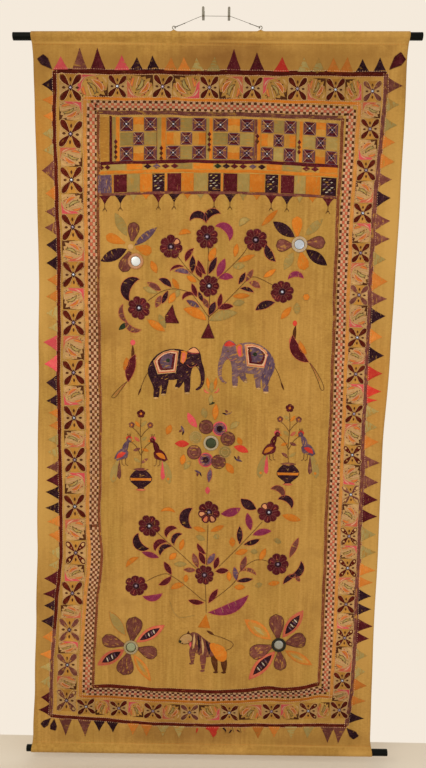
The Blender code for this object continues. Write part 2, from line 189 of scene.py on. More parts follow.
@dataclass(frozen=True)
class HangingShape:
    """The form in which the cloth hangs: the solid's, with small puckers between the main folds."""

    thickness: float = 1.6 * MM
    gap: float = 0.3 * MM
    rod_radius: float = 11.0 * MM
    rod_out: float = 30.0 * MM
    top_height: float = -52.9 * MM
    top_slope: float = 0.0107
    bottom_height: float = -2205.8 * MM
    bottom_slope: float = 0.0074
    seam: float = 20.0 * MM
    lap: float = 8.0 * MM
    slack: float = 0.7 * MM
    fade: float = 130.0 * MM
    ripple_reach: float = 95.0 * MM
    flat_spot: float = 34.0 * MM
    flat_spot_fade: float = 95.0 * MM
    mirrors: tuple[tuple[float, float], ...] = (
        (-0.2251, -0.6789), (0.2526, -0.6241), (0.0034, -1.2140), (-0.2379, -1.8651), (0.2243, -1.8483),
    )
    eyes: tuple[float, float] = (-118.5 * MM, 126.0 * MM)
    eye_bump: float = 3.2 * MM
    eye_bump_reach: float = 11.0 * MM

    def rod_height(self, rod: Side, x: Any) -> Any:
        """Z of a rod's axis at x."""
        if rod is Side.TOP:
            return self.top_height + self.top_slope * x
        return self.bottom_height + self.bottom_slope * x

    def side_edges(self, down: Any) -> tuple[np.ndarray, np.ndarray]:
        """Left and right X of the cloth at a distance below the top rod's axis.

        Args:
            down: The distance, in metres.
        Returns:
            The two edges.
        """
        below = np.asarray(down, float) / MM
        places = np.array([row.down for row in SIDE_EDGES])
        index = np.clip(np.searchsorted(places, below) - 1, 0, len(places) - 2)
        t = smooth((below - places[index]) / (places[index + 1] - places[index]))
        left = np.array([row.left for row in SIDE_EDGES])
        right = np.array([row.right for row in SIDE_EDGES])
        return mix(left[index], left[index + 1], t) * MM, mix(right[index], right[index + 1], t) * MM

    def loose_folds(self, x: Any, z: Any) -> np.ndarray:
        """How far the main folds carry the cloth forward, before a mirror stiffens it.

        Args:
            x: X of the places.
            z: Z of the places.
        Returns:
            The distances.
        """
        forward = np.zeros(np.broadcast(x, z).shape)
        for fold in FOLDS:
            middle = 0.5 * (fold.top + fold.bottom) * MM
            length = 0.5 * (fold.top - fold.bottom) * MM
            forward += fold.forward * MM * hump(x - fold.x * MM, fold.half * MM) * hump(z - middle, length)
        left, right = self.side_edges(self.top_height - z)
        for ripple in EDGE_RIPPLES:
            inward = x - left if ripple.side is Side.LEFT else right - x
            reach = hump(np.clip(inward, 0.0, self.ripple_reach), self.ripple_reach)
            forward += ripple.forward * MM * reach * hump(z - ripple.z * MM, ripple.half * MM)
        return forward

    def puckers(self, x: Any, z: Any) -> np.ndarray:
        """Small uneven creases: long upright ones, slanting ones, and short ones beside the sewn bands.

        Args:
            x: X of the places.
            z: Z of the places.
        Returns:
            How far each place is carried forward.
        """
        upright = np.sin(TAU * x / 0.083 + 1.7 * np.sin(TAU * z / 0.71))
        upright *= 0.6 + 0.4 * np.sin(TAU * z / 1.37)
        slanting = np.sin(TAU * (x + 0.35 * z) / 0.129 + 2.1 * np.sin(TAU * z / 0.57 + 1.0))
        beside = np.zeros(np.broadcast(x, z).shape)
        for band in (-0.455, -0.345, 0.360, 0.463):
            beside = beside + np.exp(-(((x - band) / 0.022) ** 2))
        short = np.sin(TAU * z / 0.047 + 2.6 * np.sin(TAU * z / 0.33)) * beside
        return (0.50 * upright + 0.40 * slanting + 0.32 * short) * MM

    def folds(self, x: Any, z: Any) -> np.ndarray:
        """All the folds, with a flat spot behind each large mirror.

        Args:
            x: X of the places.
            z: Z of the places.
        Returns:
            How far each place is carried forward.
        """
        forward = self.loose_folds(x, z)
        small = self.puckers(x, z)
        for centre_x, centre_z in self.mirrors:
            distance = np.hypot(x - centre_x, z - centre_z)
            held = 1.0 - smooth((distance - self.flat_spot) / self.flat_spot_fade)
            still = self.loose_folds(np.asarray(centre_x), np.asarray(centre_z))
            forward = mix(forward, still, held)
            small = small * (1.0 - held)
        return forward + small

    def sheet_y(self, x: Any, z: Any) -> np.ndarray:
        """Y of the middle of the cloth's thickness between the two seams."""
        below = self.rod_height(Side.TOP, x) - self.seam - z
        above = z - self.rod_height(Side.BOTTOM, x) - self.seam
        fade = smooth(np.minimum(below, above) / self.fade)
        return -self.rod_out - 0.5 * (self.thickness + self.gap) - fade * self.folds(x, z)

    def front(self, x: Any, z: Any) -> np.ndarray:
        """Y of the cloth's front face."""
        return self.sheet_y(x, z) - 0.5 * self.thickness

    def lay(self, obj: bpy.types.Object) -> bpy.types.Object:
        """Lays a piece that was drawn flat on the folds: its -Y was its height above the cloth."""
        places = read_places(obj.data)
        places[:, 1] += self.front(places[:, 0], places[:, 2])
        write_places(obj.data, places)
        return obj

    def pocket_profile(self, steps: int) -> list[tuple[float, float]]:
        """Middle of the cloth round a rod as (out, up) from its axis, from the hem's end to the seam.

        Args:
            steps: Steps round the rod.
        Returns:
            The places.
        """
        radius = self.rod_radius + self.slack + 0.5 * self.thickness
        lap = 0.5 * (self.thickness + self.gap)
        start = math.acos(radius / math.hypot(lap, self.seam)) + math.atan2(lap, self.seam)
        points = [(-lap, -self.seam - self.lap), (-lap, -self.seam)]
        for step in range(steps + 1):
            angle = mix(start, TAU - start, step / steps)
            points.append((-radius * math.sin(angle), -radius * math.cos(angle)))
        points.append((lap, -self.seam))
        return points


SHAPE = HangingShape()


def read_places(mesh: bpy.types.Mesh) -> np.ndarray:
    """The vertices' places as an (n, 3) array."""
    flat = np.empty(len(mesh.vertices) * 3, np.float32)
    mesh.vertices.foreach_get("co", flat)
    return flat.reshape(-1, 3).astype(float)


def write_places(mesh: bpy.types.Mesh, places: np.ndarray) -> None:
    """Moves the vertices to the places given."""
    mesh.vertices.foreach_set("co", places.astype(np.float32).ravel())
    mesh.update()


def link(name: str, data: Any) -> bpy.types.Object:
    """A new object in the scene at the origin."""
    obj = bpy.data.objects.new(name, data)
    bpy.context.scene.collection.objects.link(obj)
    return obj


def plain_mesh(obj: bpy.types.Object, name: str) -> bpy.types.Object:
    """Replaces an object by a plain mesh of what it shows, modifiers included.

    Args:
        obj: The object to read; it is removed.
        name: The new object's name.
    Returns:
        A mesh object at the origin, with no modifiers.
    """
    graph = bpy.context.evaluated_depsgraph_get()
    mesh = bpy.data.meshes.new_from_object(obj.evaluated_get(graph), depsgraph=graph)
    mesh.transform(obj.matrix_world)
    bpy.data.objects.remove(obj, do_unlink=True)
    mesh.name = name
    return link(name, mesh)


def finish_piece(obj: bpy.types.Object, finish: Any = None) -> bpy.types.Object:
    """Gives a piece its body, its slot and, where it has none yet, its finish, and reports it.

    Args:
        obj: The piece.
        finish: What it is made of, or None where it has its material.
    Returns:
        The piece.
    """
    if finish is not None:
        obj.data.materials.clear()
        obj.data.materials.append(BASKET.get(finish))
    obj.data.shade_smooth()
    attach(obj, "root")
    log.info("%s: %d triangles", obj.name, sum(len(face.vertices) - 2 for face in obj.data.polygons))
    return obj


# Node trees

FACTOR, COLOUR_A, COLOUR_B, MIXED = 0, 6, 7, 2
WAVE_AT_ONE = TAU / 20.0
Socket = bpy.types.NodeSocket


def plug(tree: bpy.types.NodeTree, node: bpy.types.Node, inputs: dict[Any, Any]) -> None:
    """Sets a node's inputs by name or number: a socket is linked, anything else is a constant.

    Args:
        tree: The node tree.
        node: The node.
        inputs: Values or output sockets by the input's name or number.
    """
    for name, value in inputs.items():
        if isinstance(value, Socket):
            tree.links.new(value, node.inputs[name])
        else:
            node.inputs[name].default_value = value


def add_node(tree: bpy.types.NodeTree, kind: str, settings: dict[str, Any] | None = None,
             inputs: dict[Any, Any] | None = None) -> bpy.types.Node:
    """Adds a node with its settings, values and links.

    Args:
        tree: The node tree.
        kind: The node's type name.
        settings: Its properties by name.
        inputs: Values or output sockets by the input's name or number.
    Returns:
        The new node.
    """
    node = tree.nodes.new(kind)
    for name, value in (settings or {}).items():
        setattr(node, name, value)
    plug(tree, node, inputs or {})
    return node


def linear(colour: str) -> tuple[float, float, float, float]:
    """An sRGB hex colour as linear RGBA."""
    shares = [int(colour[place:place + 2], 16) / 255.0 for place in (0, 2, 4)]
    return (*[c / 12.92 if c <= 0.04045 else ((c + 0.055) / 1.055) ** 2.4 for c in shares], 1.0)


class Finish:
    """A material being built, with a short call for each kind of node that the finishes share."""

    def __init__(self, name: str) -> None:
        """Starts with only the shader."""
        self.made = bpy.data.materials.new(name)
        self.made.use_nodes = True
        self.tree = self.made.node_tree

    def node(self, kind: str, settings: dict[str, Any] | None = None,
             inputs: dict[Any, Any] | None = None) -> bpy.types.Node:
        """Adds a shader node."""
        return add_node(self.tree, "ShaderNode" + kind, settings, inputs)

    def place(self) -> Socket:
        """Object coordinates, which are the hanging's own."""
        return self.node("TexCoord").outputs["Object"]

    def sewn(self) -> Socket:
        """The piece's own UV map, whose unit is a metre."""
        return self.node("UVMap", {"uv_map": "sewn"}).outputs[0]

    def stretched(self, vector: Socket, scale: tuple[float, float, float]) -> Socket:
        """Coordinates scaled by direction."""
        return self.node("Mapping", None, {"Vector": vector, "Scale": scale}).outputs[0]

    def noise(self, vector: Socket, size: float, detail: float, roughness: float = 0.5) -> Socket:
        """Noise whose features are about size mm across."""
        return self.node("TexNoise", None, {
            "Vector": vector, "Scale": 1.0 / (size * MM), "Detail": detail, "Roughness": roughness,
        }).outputs[0]

    def wave(self, direction: str, vector: Socket, period: float, distortion: float = 0.0,
             detail: float = 2.0, detail_scale: float = 1.0) -> Socket:
        """Even ridges with a period in mm."""
        return self.node("TexWave", {"bands_direction": direction}, {
            "Vector": vector, "Scale": WAVE_AT_ONE / (period * MM), "Distortion": distortion,
            "Detail": detail, "Detail Scale": detail_scale}).outputs["Fac"]

    def spread(self, value: Socket, start: float, end: float, low: float, high: float) -> Socket:
        """Goes from low to high as a value goes from start to end."""
        return self.node("MapRange", None, {0: value, 1: start, 2: end, 3: low, 4: high}).outputs[0]

    def maths(self, operation: str, *values: Any) -> Socket:
        """A sum on sockets or numbers."""
        return self.node("Math", {"operation": operation}, dict(enumerate(values))).outputs[0]

    def mixed(self, share: Any, under: Any, over: Any, blend: str = "MIX") -> Socket:
        """A share of one colour over another."""
        return self.node("Mix", {"data_type": "RGBA", "blend_type": blend}, {
            FACTOR: share, COLOUR_A: under, COLOUR_B: over}).outputs[MIXED]

    def tinted(self, under: Any, over: str, noise: Socket, start: float, end: float, most: float) -> Socket:
        """Lays a hex colour over another, up to its most, as a noise goes from start to end."""
        return self.mixed(self.spread(noise, start, end, 0.0, most), under, linear(over))

    def bump(self, height: Socket, strength: float, depth: float, over: Socket | None = None) -> Socket:
        """A relief with a depth in mm, over another one if that is given."""
        under = {"Normal": over} if over else {}
        return self.node("Bump", None, {
            "Strength": strength, "Distance": depth * MM, "Height": height, **under}).outputs[0]

    def done(self, inputs: dict[str, Any]) -> bpy.types.Material:
        """Sets the shader's inputs and hands over the material."""
        plug(self.tree, self.tree.nodes["Principled BSDF"], inputs)
        return self.made


@dataclass(frozen=True)
class MustardCotton:
    """Hand-woven cotton dyed mustard, old and unevenly faded: dull, with long upright streaks, stained spots,
    and painted highlight and shadow at the seams.
    """

    base: str = "B0863E"
    light: str = "C79D52"
    dark: str = "926A2E"
    olive: str = "A58A3E"
    stain: str = "6F4318"
    warm: str = "BE7C2C"
    thread: float = 1.5  # real threads are about 0.5 mm; three times as coarse, so that the weave shows

    def build(self) -> bpy.types.Material:
        """Builds the material: streaks, grain and broad fading, then stained spots with painted highlight and
        shadow at the seams, then the weave.

        Returns:
            The material.
        """
        made = Finish("mustard_handwoven_cotton")
        place = made.place()
        streak = made.noise(made.stretched(place, (1.0, 1.0, 0.05)), size=9.0, detail=4.0, roughness=0.6)
        broad = made.noise(made.stretched(place, (1.0, 1.0, 0.3)), size=150.0, detail=3.0, roughness=0.55)
        blotch = made.noise(place, size=60.0, detail=5.0, roughness=0.6)
        grain = made.noise(made.stretched(place, (0.5, 1.0, 1.0)), size=4.5, detail=3.0, roughness=0.7)
        # Colour, noise, where it starts and ends on the noise, and the most that it covers
        layers = (
            (self.light, streak, 0.47, 0.68, 0.5),
            (self.dark, streak, 0.48, 0.30, 0.46),
            (self.dark, grain, 0.50, 0.32, 0.45),
            (self.light, grain, 0.52, 0.70, 0.45),
            (self.light, broad, 0.48, 0.70, 0.5),
            (self.olive, broad, 0.52, 0.36, 0.22),
            (self.dark, blotch, 0.50, 0.30, 0.4),
        )
        colour: Any = linear(self.base)
        for layer in layers:
            colour = made.tinted(colour, *layer)
        colour = self.stains_and_painted_light(made, place, colour, blotch)
        weave = self.weave(made, place)
        return made.done({
            "Base Color": made.mixed(0.22, colour, weave, "MULTIPLY"),
            "Normal": made.bump(streak, 0.4, 0.6, over=made.bump(weave, 0.35, 0.35)),
            "Roughness": 0.94, "Specular IOR Level": 0.25, "Sheen Weight": 0.08})

    def stains_and_painted_light(self, made: Finish, place: Socket, under: Any, ragged: Socket) -> Socket:
        """Lays the brown stained spots, warm margins and the pale end of the bottom hem, and painted light:
        pale lines along the seams and a pale band across the bottom pocket as highlight, and a dark band
        above the bottom seam as shadow.

        Args:
            made: The material being built.
            place: Its coordinates.
            under: The colour that they lie on.
            ragged: A noise that frays their edges.
        Returns:
            The colour with the stained spots and the painted highlight and shadow.
        """
        # X, Z, half width and half height in mm, colour, and the most that it covers
        spots = (
            (20.0, -114.0, 195.0, 58.0, self.stain, 0.8),
            (330.0, -106.0, 240.0, 46.0, self.dark, 0.8),
            (-330.0, -118.0, 210.0, 46.0, self.dark, 0.75),
            (330.0, -55.0, 240.0, 14.0, self.light, 0.3),
            (-120.0, -175.0, 370.0, 80.0, self.dark, 0.75),
            (-500.0, -150.0, 60.0, 170.0, self.dark, 0.5),
            (260.0, -175.0, 300.0, 80.0, self.dark, 0.75),
            (-60.0, -2150.0, 190.0, 60.0, self.stain, 0.55),
            (20.0, -2065.0, 420.0, 45.0, self.dark, 0.5),
            (330.0, -2165.0, 240.0, 50.0, self.dark, 0.6),
            (-505.0, -330.0, 60.0, 130.0, self.warm, 0.5),
            (-500.0, -1800.0, 60.0, 240.0, self.dark, 0.45),
            (-510.0, -800.0, 50.0, 200.0, self.light, 0.8),
            (-520.0, -1400.0, 55.0, 230.0, self.light, 0.8),
            (520.0, -560.0, 60.0, 330.0, self.light, 0.9),
            (500.0, -1050.0, 60.0, 160.0, self.warm, 0.4),
            (500.0, -1700.0, 55.0, 320.0, self.light, 0.8),
            (-300.0, -2060.0, 240.0, 60.0, self.warm, 0.25),
            (-30.0, -1120.0, 150.0, 70.0, self.dark, 0.4),
            (-290.0, -880.0, 60.0, 60.0, self.dark, 0.45),
            (475.0, -2206.0, 58.0, 20.0, self.light, 0.8),
            # Pale lines along the top and bottom seams: painted highlight on the seam creases
            (-290.0, -76.0, 330.0, 3.6, self.light, 0.75),
            (290.0, -68.0, 330.0, 3.6, self.light, 0.85),
            (-290.0, -2188.0, 330.0, 3.6, self.light, 0.5),
            (290.0, -2184.0, 330.0, 3.6, self.light, 0.5),
            # Dark band above the bottom seam: painted shadow
            (-330.0, -2155.0, 190.0, 30.0, self.dark, 0.35),
            # Pale band across the front of the bottom pocket: painted highlight on its bulge
            (-60.0, -2204.0, 380.0, 15.0, self.light, 0.25),
        )
        for x, z, half_x, half_z, colour, most in spots:
            moved = made.node("Mapping", {"vector_type": "TEXTURE"}, {
                "Vector": place, "Location": (x * MM, 0.0, z * MM),
                "Scale": (half_x * MM, 10.0, half_z * MM)})
            far = made.node("VectorMath", {"operation": "LENGTH"}, {0: moved.outputs[0]}).outputs["Value"]
            under = made.tinted(under, colour, made.maths("MULTIPLY_ADD", ragged, 1.1, far), 1.75, 0.75, most)
        return under

    def weave(self, made: Finish, place: Socket) -> Socket:
        """A plain weave: upright and level threads, each a little uneven."""
        upright, level = (
            made.wave(direction, place, self.thread, distortion=0.6, detail=1.0, detail_scale=2.0)
            for direction in ("X", "Z"))
        return made.maths("MULTIPLY_ADD", level, 0.5, made.maths("MULTIPLY_ADD", upright, 0.5, 0.15))


@dataclass(frozen=True)
class DyedCotton:
    """Dyed cotton patch covered with rows of chain stitch: dull, ribbed along its rows, worn in spots."""

    dye: Dye
    row: float = 2.6  # real rows are about 1.3 mm apart; twice as coarse, so that they show
    ground: str = "AD8039"
    fleck: str = "B98E72"

    def build(self) -> bpy.types.Material:
        """Builds the material on the patch's own UV map, which runs along and across its rows.

        Returns:
            The material.
        """
        deep, worn, bare = self.dye.value
        made = Finish("stitched_cotton_" + self.dye.name.lower())
        place, sewn = made.place(), made.sewn()
        tone = made.node("Attribute", {"attribute_name": "tone"}).outputs["Fac"]
        rows = made.wave("Y", sewn, self.row, distortion=1.6, detail=2.0, detail_scale=3.0)
        fine = made.noise(sewn, size=3.2, detail=3.0, roughness=0.7)
        patchy = made.noise(place, size=16.0, detail=4.0, roughness=0.65)
        lit = made.spread(made.maths("MULTIPLY", rows, fine), 0.15, 0.62, 0.0, 0.55)
        colour = made.mixed(lit, linear(deep), linear(worn))
        colour = made.tinted(colour, worn, patchy, 0.46, 0.74, 0.6)
        colour = made.tinted(colour, self.ground, self.split(made, place, sewn), 0.70 - 0.55 * bare,
                             0.78 - 0.55 * bare, 0.85)
        colour = made.tinted(colour, self.fleck, fine, 0.60, 0.72, 0.5)
        # Brightness from each patch's tone, painted shade at the top, a darker bottom and uneven dust
        bright = made.maths("MULTIPLY_ADD", tone, 0.14, self.shade_and_dust(made, place))
        return made.done({
            "Base Color": made.node("HueSaturation", None, {"Color": colour, "Value": bright}).outputs[0],
            "Normal": made.bump(fine, 0.4, 0.4, over=made.bump(rows, 0.7, 0.5)),
            "Roughness": 0.9, "Specular IOR Level": 0.05})

    def split(self, made: Finish, place: Socket, sewn: Socket) -> Socket:
        """A noise drawn out along the rows, where the cloth has split; it differs from patch to patch."""
        where = made.node("VectorMath", {"operation": "DOT_PRODUCT"}, {0: place, 1: (0.09, 0.0, 0.13)})
        return made.node("TexNoise", {"noise_dimensions": "4D"}, {
            "Vector": made.stretched(sewn, (0.22, 1.0, 1.0)), "W": where.outputs["Value"],
            "Scale": 1.0 / (4.6 * MM), "Detail": 2.0, "Roughness": 0.6}).outputs[0]

    def shade_and_dust(self, made: Finish, place: Socket) -> Socket:
        """Brightness: painted shade towards the top, darker towards the bottom, and a little uneven all over.

        Args:
            made: The material being built.
            place: Its coordinates.
        Returns:
            The brightness.
        """
        depth = made.node("SeparateXYZ", None, {0: place}).outputs["Z"]
        # Painted shade: darker towards the top
        painted_shade_top = made.spread(depth, -0.42, -0.16, 1.0, 0.72)
        # Darker towards the bottom
        darker_bottom = made.spread(depth, -1.91, -2.01, 1.0, 0.76)
        dusty = made.spread(made.noise(place, size=120.0, detail=2.0), 0.3, 0.7, 0.9, 1.1)
        return made.maths("MULTIPLY", made.maths("MULTIPLY", painted_shade_top, darker_bottom), dusty)


@dataclass(frozen=True)
class TwistedThread:
    """Two-ply cotton thread: matt, with a slanting twist."""

    dye: Dye

    def build(self) -> bpy.types.Material:
        """Builds the material on Object coordinates.

        Returns:
            The material.
        """
        deep, worn, _ = self.dye.value
        made = Finish("twisted_thread_" + self.dye.name.lower())
        place = made.place()
        twist = made.wave("DIAGONAL", place, 1.4, distortion=1.0)
        share = made.maths("MULTIPLY", twist, made.noise(place, size=22.0, detail=3.0))
        return made.done({
            "Base Color": made.mixed(share, linear(deep), linear(worn)), "Normal": made.bump(twist, 0.6, 0.2),
            "Roughness": 0.85, "Specular IOR Level": 0.2, "Sheen Weight": 0.03})


@dataclass(frozen=True)
class SilveredGlass:
    """Hand-cut blown glass silvered behind: a soft reflection with a tint, cloudy spots and a worn rim."""

    name: str
    tint: str
    spot: str
    roughness: float = 0.16

    def build(self) -> bpy.types.Material:
        """Builds the material on Object coordinates.

        Returns:
            The material.
        """
        made = Finish("silvered_glass_" + self.name)
        cloud = made.noise(made.place(), size=6.0, detail=4.0, roughness=0.7)
        return made.done({
            "Base Color": made.tinted(linear(self.tint), self.spot, cloud, 0.5, 0.75, 0.55),
            "Roughness": made.spread(cloud, 0.4, 0.8, self.roughness, self.roughness + 0.25),
            "Normal": made.bump(cloud, 0.25, 0.5), "Metallic": 0.85})


@dataclass(frozen=True)
class PaintedPine:
    """Pine dowel under dark green gloss paint: near black, glossy, with brush ridges and rubbed spots."""

    paint: str = "050806"
    rubbed: str = "0E150F"
    wood: str = "3A2A1C"

    def build(self) -> bpy.types.Material:
        """Builds the material on Object coordinates; the dowels lie along X.

        Returns:
            The material.
        """
        made = Finish("dark_green_gloss_painted_pine")
        place = made.place()
        ridge = made.noise(made.stretched(place, (0.06, 1.0, 1.0)), size=2.5, detail=3.0, roughness=0.6)
        worn = made.noise(place, size=7.0, detail=5.0, roughness=0.7)
        rubbed = made.tinted(linear(self.paint), self.rubbed, worn, 0.5, 0.72, 0.8)
        return made.done({
            "Base Color": made.tinted(rubbed, self.wood, worn, 0.74, 0.77, 1.0),
            "Roughness": made.spread(worn, 0.35, 0.75, 0.4, 0.6),
            "Normal": made.bump(ridge, 0.35, 0.15), "Specular IOR Level": 0.08})


@dataclass(frozen=True)
class ZincSteel:
    """Steel wire or strip under dull zinc: greyish, soft reflections, with darker handled spots."""

    name: str
    colour: str
    dark: str
    strand: float = 0.0

    def build(self) -> bpy.types.Material:
        """Builds the material; a strand size above 0 adds the lay of a stranded wire, in mm.

        Returns:
            The material.
        """
        made = Finish(self.name)
        spangle = made.noise(made.place(), size=2.5, detail=4.0, roughness=0.65)
        height = made.wave("DIAGONAL", made.sewn(), self.strand) if self.strand else spangle
        return made.done({
            "Base Color": made.tinted(linear(self.dark), self.colour, spangle, 0.35, 0.7, 1.0),
            "Roughness": made.spread(spangle, 0.3, 0.75, 0.52, 0.34),
            "Normal": made.bump(height, 0.5, 0.15), "Metallic": 0.9})


class Workbasket:
    """Keeps each finish, built once."""

    def __init__(self) -> None:
        """Starts with nothing built."""
        self.built: dict[Any, bpy.types.Material] = {}

    def get(self, finish: Any) -> bpy.types.Material:
        """The material of a finish, built when it is first asked for."""
        if finish not in self.built:
            self.built[finish] = finish.build()
        return self.built[finish]


BASKET = Workbasket()


# Geometry-node trees


class SewingTree:
    """A geometry-node tree with named inputs, which ends in Realize Instances and Set Material."""

    def __init__(self, name: str, inputs: dict[str, Any]) -> None:
        """Makes the tree's inputs.

        Args:
            name: The tree's name.
            inputs: Each number's default by its name, or None for an object, after Geometry and Finish.
        """
        self.tree = bpy.data.node_groups.new(name, "GeometryNodeTree")
        self.tree.is_modifier = True
        self.identifiers: dict[str, str] = {}
        self.socket("Geometry", "Geometry", "INPUT")
        self.socket("Finish", "Material", "INPUT")
        for label, value in inputs.items():
            if value is None:
                self.socket(label, "Object", "INPUT")
            else:
                kind = "Int" if isinstance(value, int) else "Float"
                self.socket(label, kind, "INPUT").default_value = value
        self.socket("Geometry", "Geometry", "OUTPUT")
        self.given = self.tree.nodes.new("NodeGroupInput").outputs

    def socket(self, label: str, kind: str, way: str) -> Any:
        """Adds an input or output to the tree."""
        made = self.tree.interface.new_socket(name=label, in_out=way, socket_type="NodeSocket" + kind)
        self.identifiers[label] = made.identifier
        return made

    def node(self, kind: str, settings: dict[str, Any] | None = None,
             inputs: dict[Any, Any] | None = None) -> bpy.types.Node:
        """Adds a node to the tree."""
        return add_node(self.tree, kind, settings, inputs)

    def maths(self, operation: str, *values: Any) -> Socket:
        """A sum on sockets or numbers."""
        return self.node("ShaderNodeMath", {"operation": operation}, dict(enumerate(values))).outputs[0]

    def random(self, number: int) -> Socket:
        """A random number from -1 to 1 for each element, from the Seed input and a number of its own."""
        moved = self.maths("ADD", self.given["Seed"], float(number))
        return self.node("FunctionNodeRandomValue", {"data_type": "FLOAT"}, {
            2: -1.0, 3: 1.0, 8: moved}).outputs[1]

    def strayed(self, middle: Any, share: str, number: int) -> Socket:
        """A value that strays for each element by up to the input of that name."""
        return self.maths("MULTIPLY_ADD", self.random(number), self.given[share], middle)

    def shape(self) -> Socket:
        """What the Copy input's object shows."""
        return self.node("GeometryNodeObjectInfo", {"transform_space": "ORIGINAL"}, {
            "Object": self.given["Copy"]}).outputs["Geometry"]

    def even_line(self, pitch: str) -> Socket:
        """The edges given, as lines with points at an even pitch."""
        line = self.node("GeometryNodeMeshToCurve", None, {"Mesh": self.given["Geometry"]})
        return self.node("GeometryNodeResampleCurve", {"mode": "LENGTH"}, {
            "Curve": line.outputs[0], "Length": self.given[pitch]}).outputs[0]

    def turn_about(self, angle: Socket) -> Socket:
        """A turn in the cloth's plane."""
        return self.node("ShaderNodeCombineXYZ", None, {"Y": angle}).outputs[0]

    def toned(self, copies: Socket) -> Socket:
        """Gives each copy a tone of its own."""
        return self.node("GeometryNodeStoreNamedAttribute", {"data_type": "FLOAT", "domain": "INSTANCE"}, {
            "Geometry": copies, "Name": "tone", "Value": self.random(13)}).outputs[0]

    def end(self, geometry: Socket) -> "SewingTree":
        """Realizes the instances, gives them the Finish input and joins the output.

        Args:
            geometry: What the tree has made.
        Returns:
            The tree.
        """
        real = self.node("GeometryNodeRealizeInstances", None, {"Geometry": geometry})
        dressed = self.node("GeometryNodeSetMaterial", None, {
            "Geometry": real.outputs[0], "Material": self.given["Finish"]})
        self.tree.links.new(dressed.outputs[0], self.tree.nodes.new("NodeGroupOutput").inputs[0])
        return self

    def run(self, obj: bpy.types.Object, name: str, finish: Any, values: dict[str, Any]) -> bpy.types.Object:
        """Runs the tree on an object, which is removed, as is the shape that it copies.

        Args:
            obj: What the tree works on.
            name: The new piece's name.
            finish: What it is made of, or None on a template.
            values: The other inputs by name.
        Returns:
            The plain mesh object.
        """
        modifier = obj.modifiers.new("Sewing", "NODES")
        modifier.node_group = self.tree
        if finish is not None:
            modifier[self.identifiers["Finish"]] = BASKET.get(finish)
        for label, value in values.items():
            modifier[self.identifiers[label]] = value
        piece = plain_mesh(obj, name)
        if "Copy" in values:
            bpy.data.objects.remove(values["Copy"], do_unlink=True)
        return piece


def copies_tree() -> SewingTree:
    """Copies one shape to each point, turned and sized by the points' own attributes, a little unevenly.

    Returns:
        The tree.
    """
    made = SewingTree("copies_on_points", {
        "Copy": None, "Turn unevenness": 0.05, "Size unevenness": 0.04, "Seed": 1})
    turn = made.node("GeometryNodeInputNamedAttribute", {"data_type": "FLOAT"}, {"Name": "turn"}).outputs[0]
    size = made.node("GeometryNodeInputNamedAttribute", {"data_type": "FLOAT_VECTOR"}, {"Name": "size"})
    scale = made.node("ShaderNodeVectorMath", {"operation": "SCALE"}, {
        0: size.outputs[0], 3: made.strayed(1.0, "Size unevenness", 7)})
    copies = made.node("GeometryNodeInstanceOnPoints", None, {
        "Points": made.given["Geometry"], "Instance": made.shape(), "Scale": scale.outputs[0],
        "Rotation": made.turn_about(made.strayed(turn, "Turn unevenness", 0))})
    return made.end(made.toned(copies.outputs[0]))


def row_tree() -> SewingTree:
    """Copies one shape along lines at an even pitch, pointing along them, beside them by an offset.

    Returns:
        The tree.
    """
    made = SewingTree("copies_in_a_row", {
        "Copy": None, "Pitch": 0.008, "Offset": 0.0, "Every": 1, "First": 0, "Turn unevenness": 0.06,
        "Size unevenness": 0.08, "Seed": 1})
    counted = made.maths("ADD", made.node("GeometryNodeInputIndex").outputs[0], made.given["First"])
    chosen = made.maths("LESS_THAN", made.maths("MODULO", counted, made.given["Every"]), 0.5)
    along = made.node("FunctionNodeAlignRotationToVector", {"axis": "X", "pivot_axis": "Y"}, {
        "Vector": made.node("GeometryNodeInputTangent").outputs[0]})
    copies = made.node("GeometryNodeInstanceOnPoints", None, {
        "Points": made.even_line("Pitch"), "Selection": chosen, "Instance": made.shape(),
        "Rotation": along.outputs[0], "Scale": made.strayed(1.0, "Size unevenness", 7)})
    aside = made.node("ShaderNodeCombineXYZ", None, {"Z": made.given["Offset"]})
    moved = made.node("GeometryNodeTranslateInstances", None, {
        "Instances": copies.outputs[0], "Translation": aside.outputs[0], "Local Space": True})
    turned_copies = made.node("GeometryNodeRotateInstances", None, {
        "Instances": moved.outputs[0], "Local Space": True,
        "Rotation": made.turn_about(made.strayed(0.0, "Turn unevenness", 3))})
    return made.end(made.toned(turned_copies.outputs[0]))


def thread_tree() -> SewingTree:
    """Runs a thread along lines, thick and thin by turns as chain stitches are.

    Returns:
        The tree.
    """
    made = SewingTree("thread_along_lines", {"Radius": 0.0006, "Stitch": 0.004, "Beading": 0.3, "Sides": 5})
    turn = made.maths("MODULO", made.node("GeometryNodeInputIndex").outputs[0], 2.0)
    slim = made.maths("SUBTRACT", 1.0, made.maths("MULTIPLY", turn, made.given["Beading"]))
    ring = made.node("GeometryNodeCurvePrimitiveCircle", {"mode": "RADIUS"}, {
        "Resolution": made.given["Sides"], "Radius": made.given["Radius"]})
    thread = made.node("GeometryNodeCurveToMesh", None, {
        "Curve": made.even_line("Stitch"), "Profile Curve": ring.outputs[0], "Scale": slim,
        "Fill Caps": True})
    return made.end(thread.outputs[0])


COPIES = copies_tree()
ROWS = row_tree()
THREADS = thread_tree()


# X, Z, turn anticlockwise in radians, and size across and up
PointRow = tuple[float, float, float, float, float]
# (n, 2) X and Z or (n, 3) with a height, and whether the line is closed
Line = tuple[np.ndarray, bool]


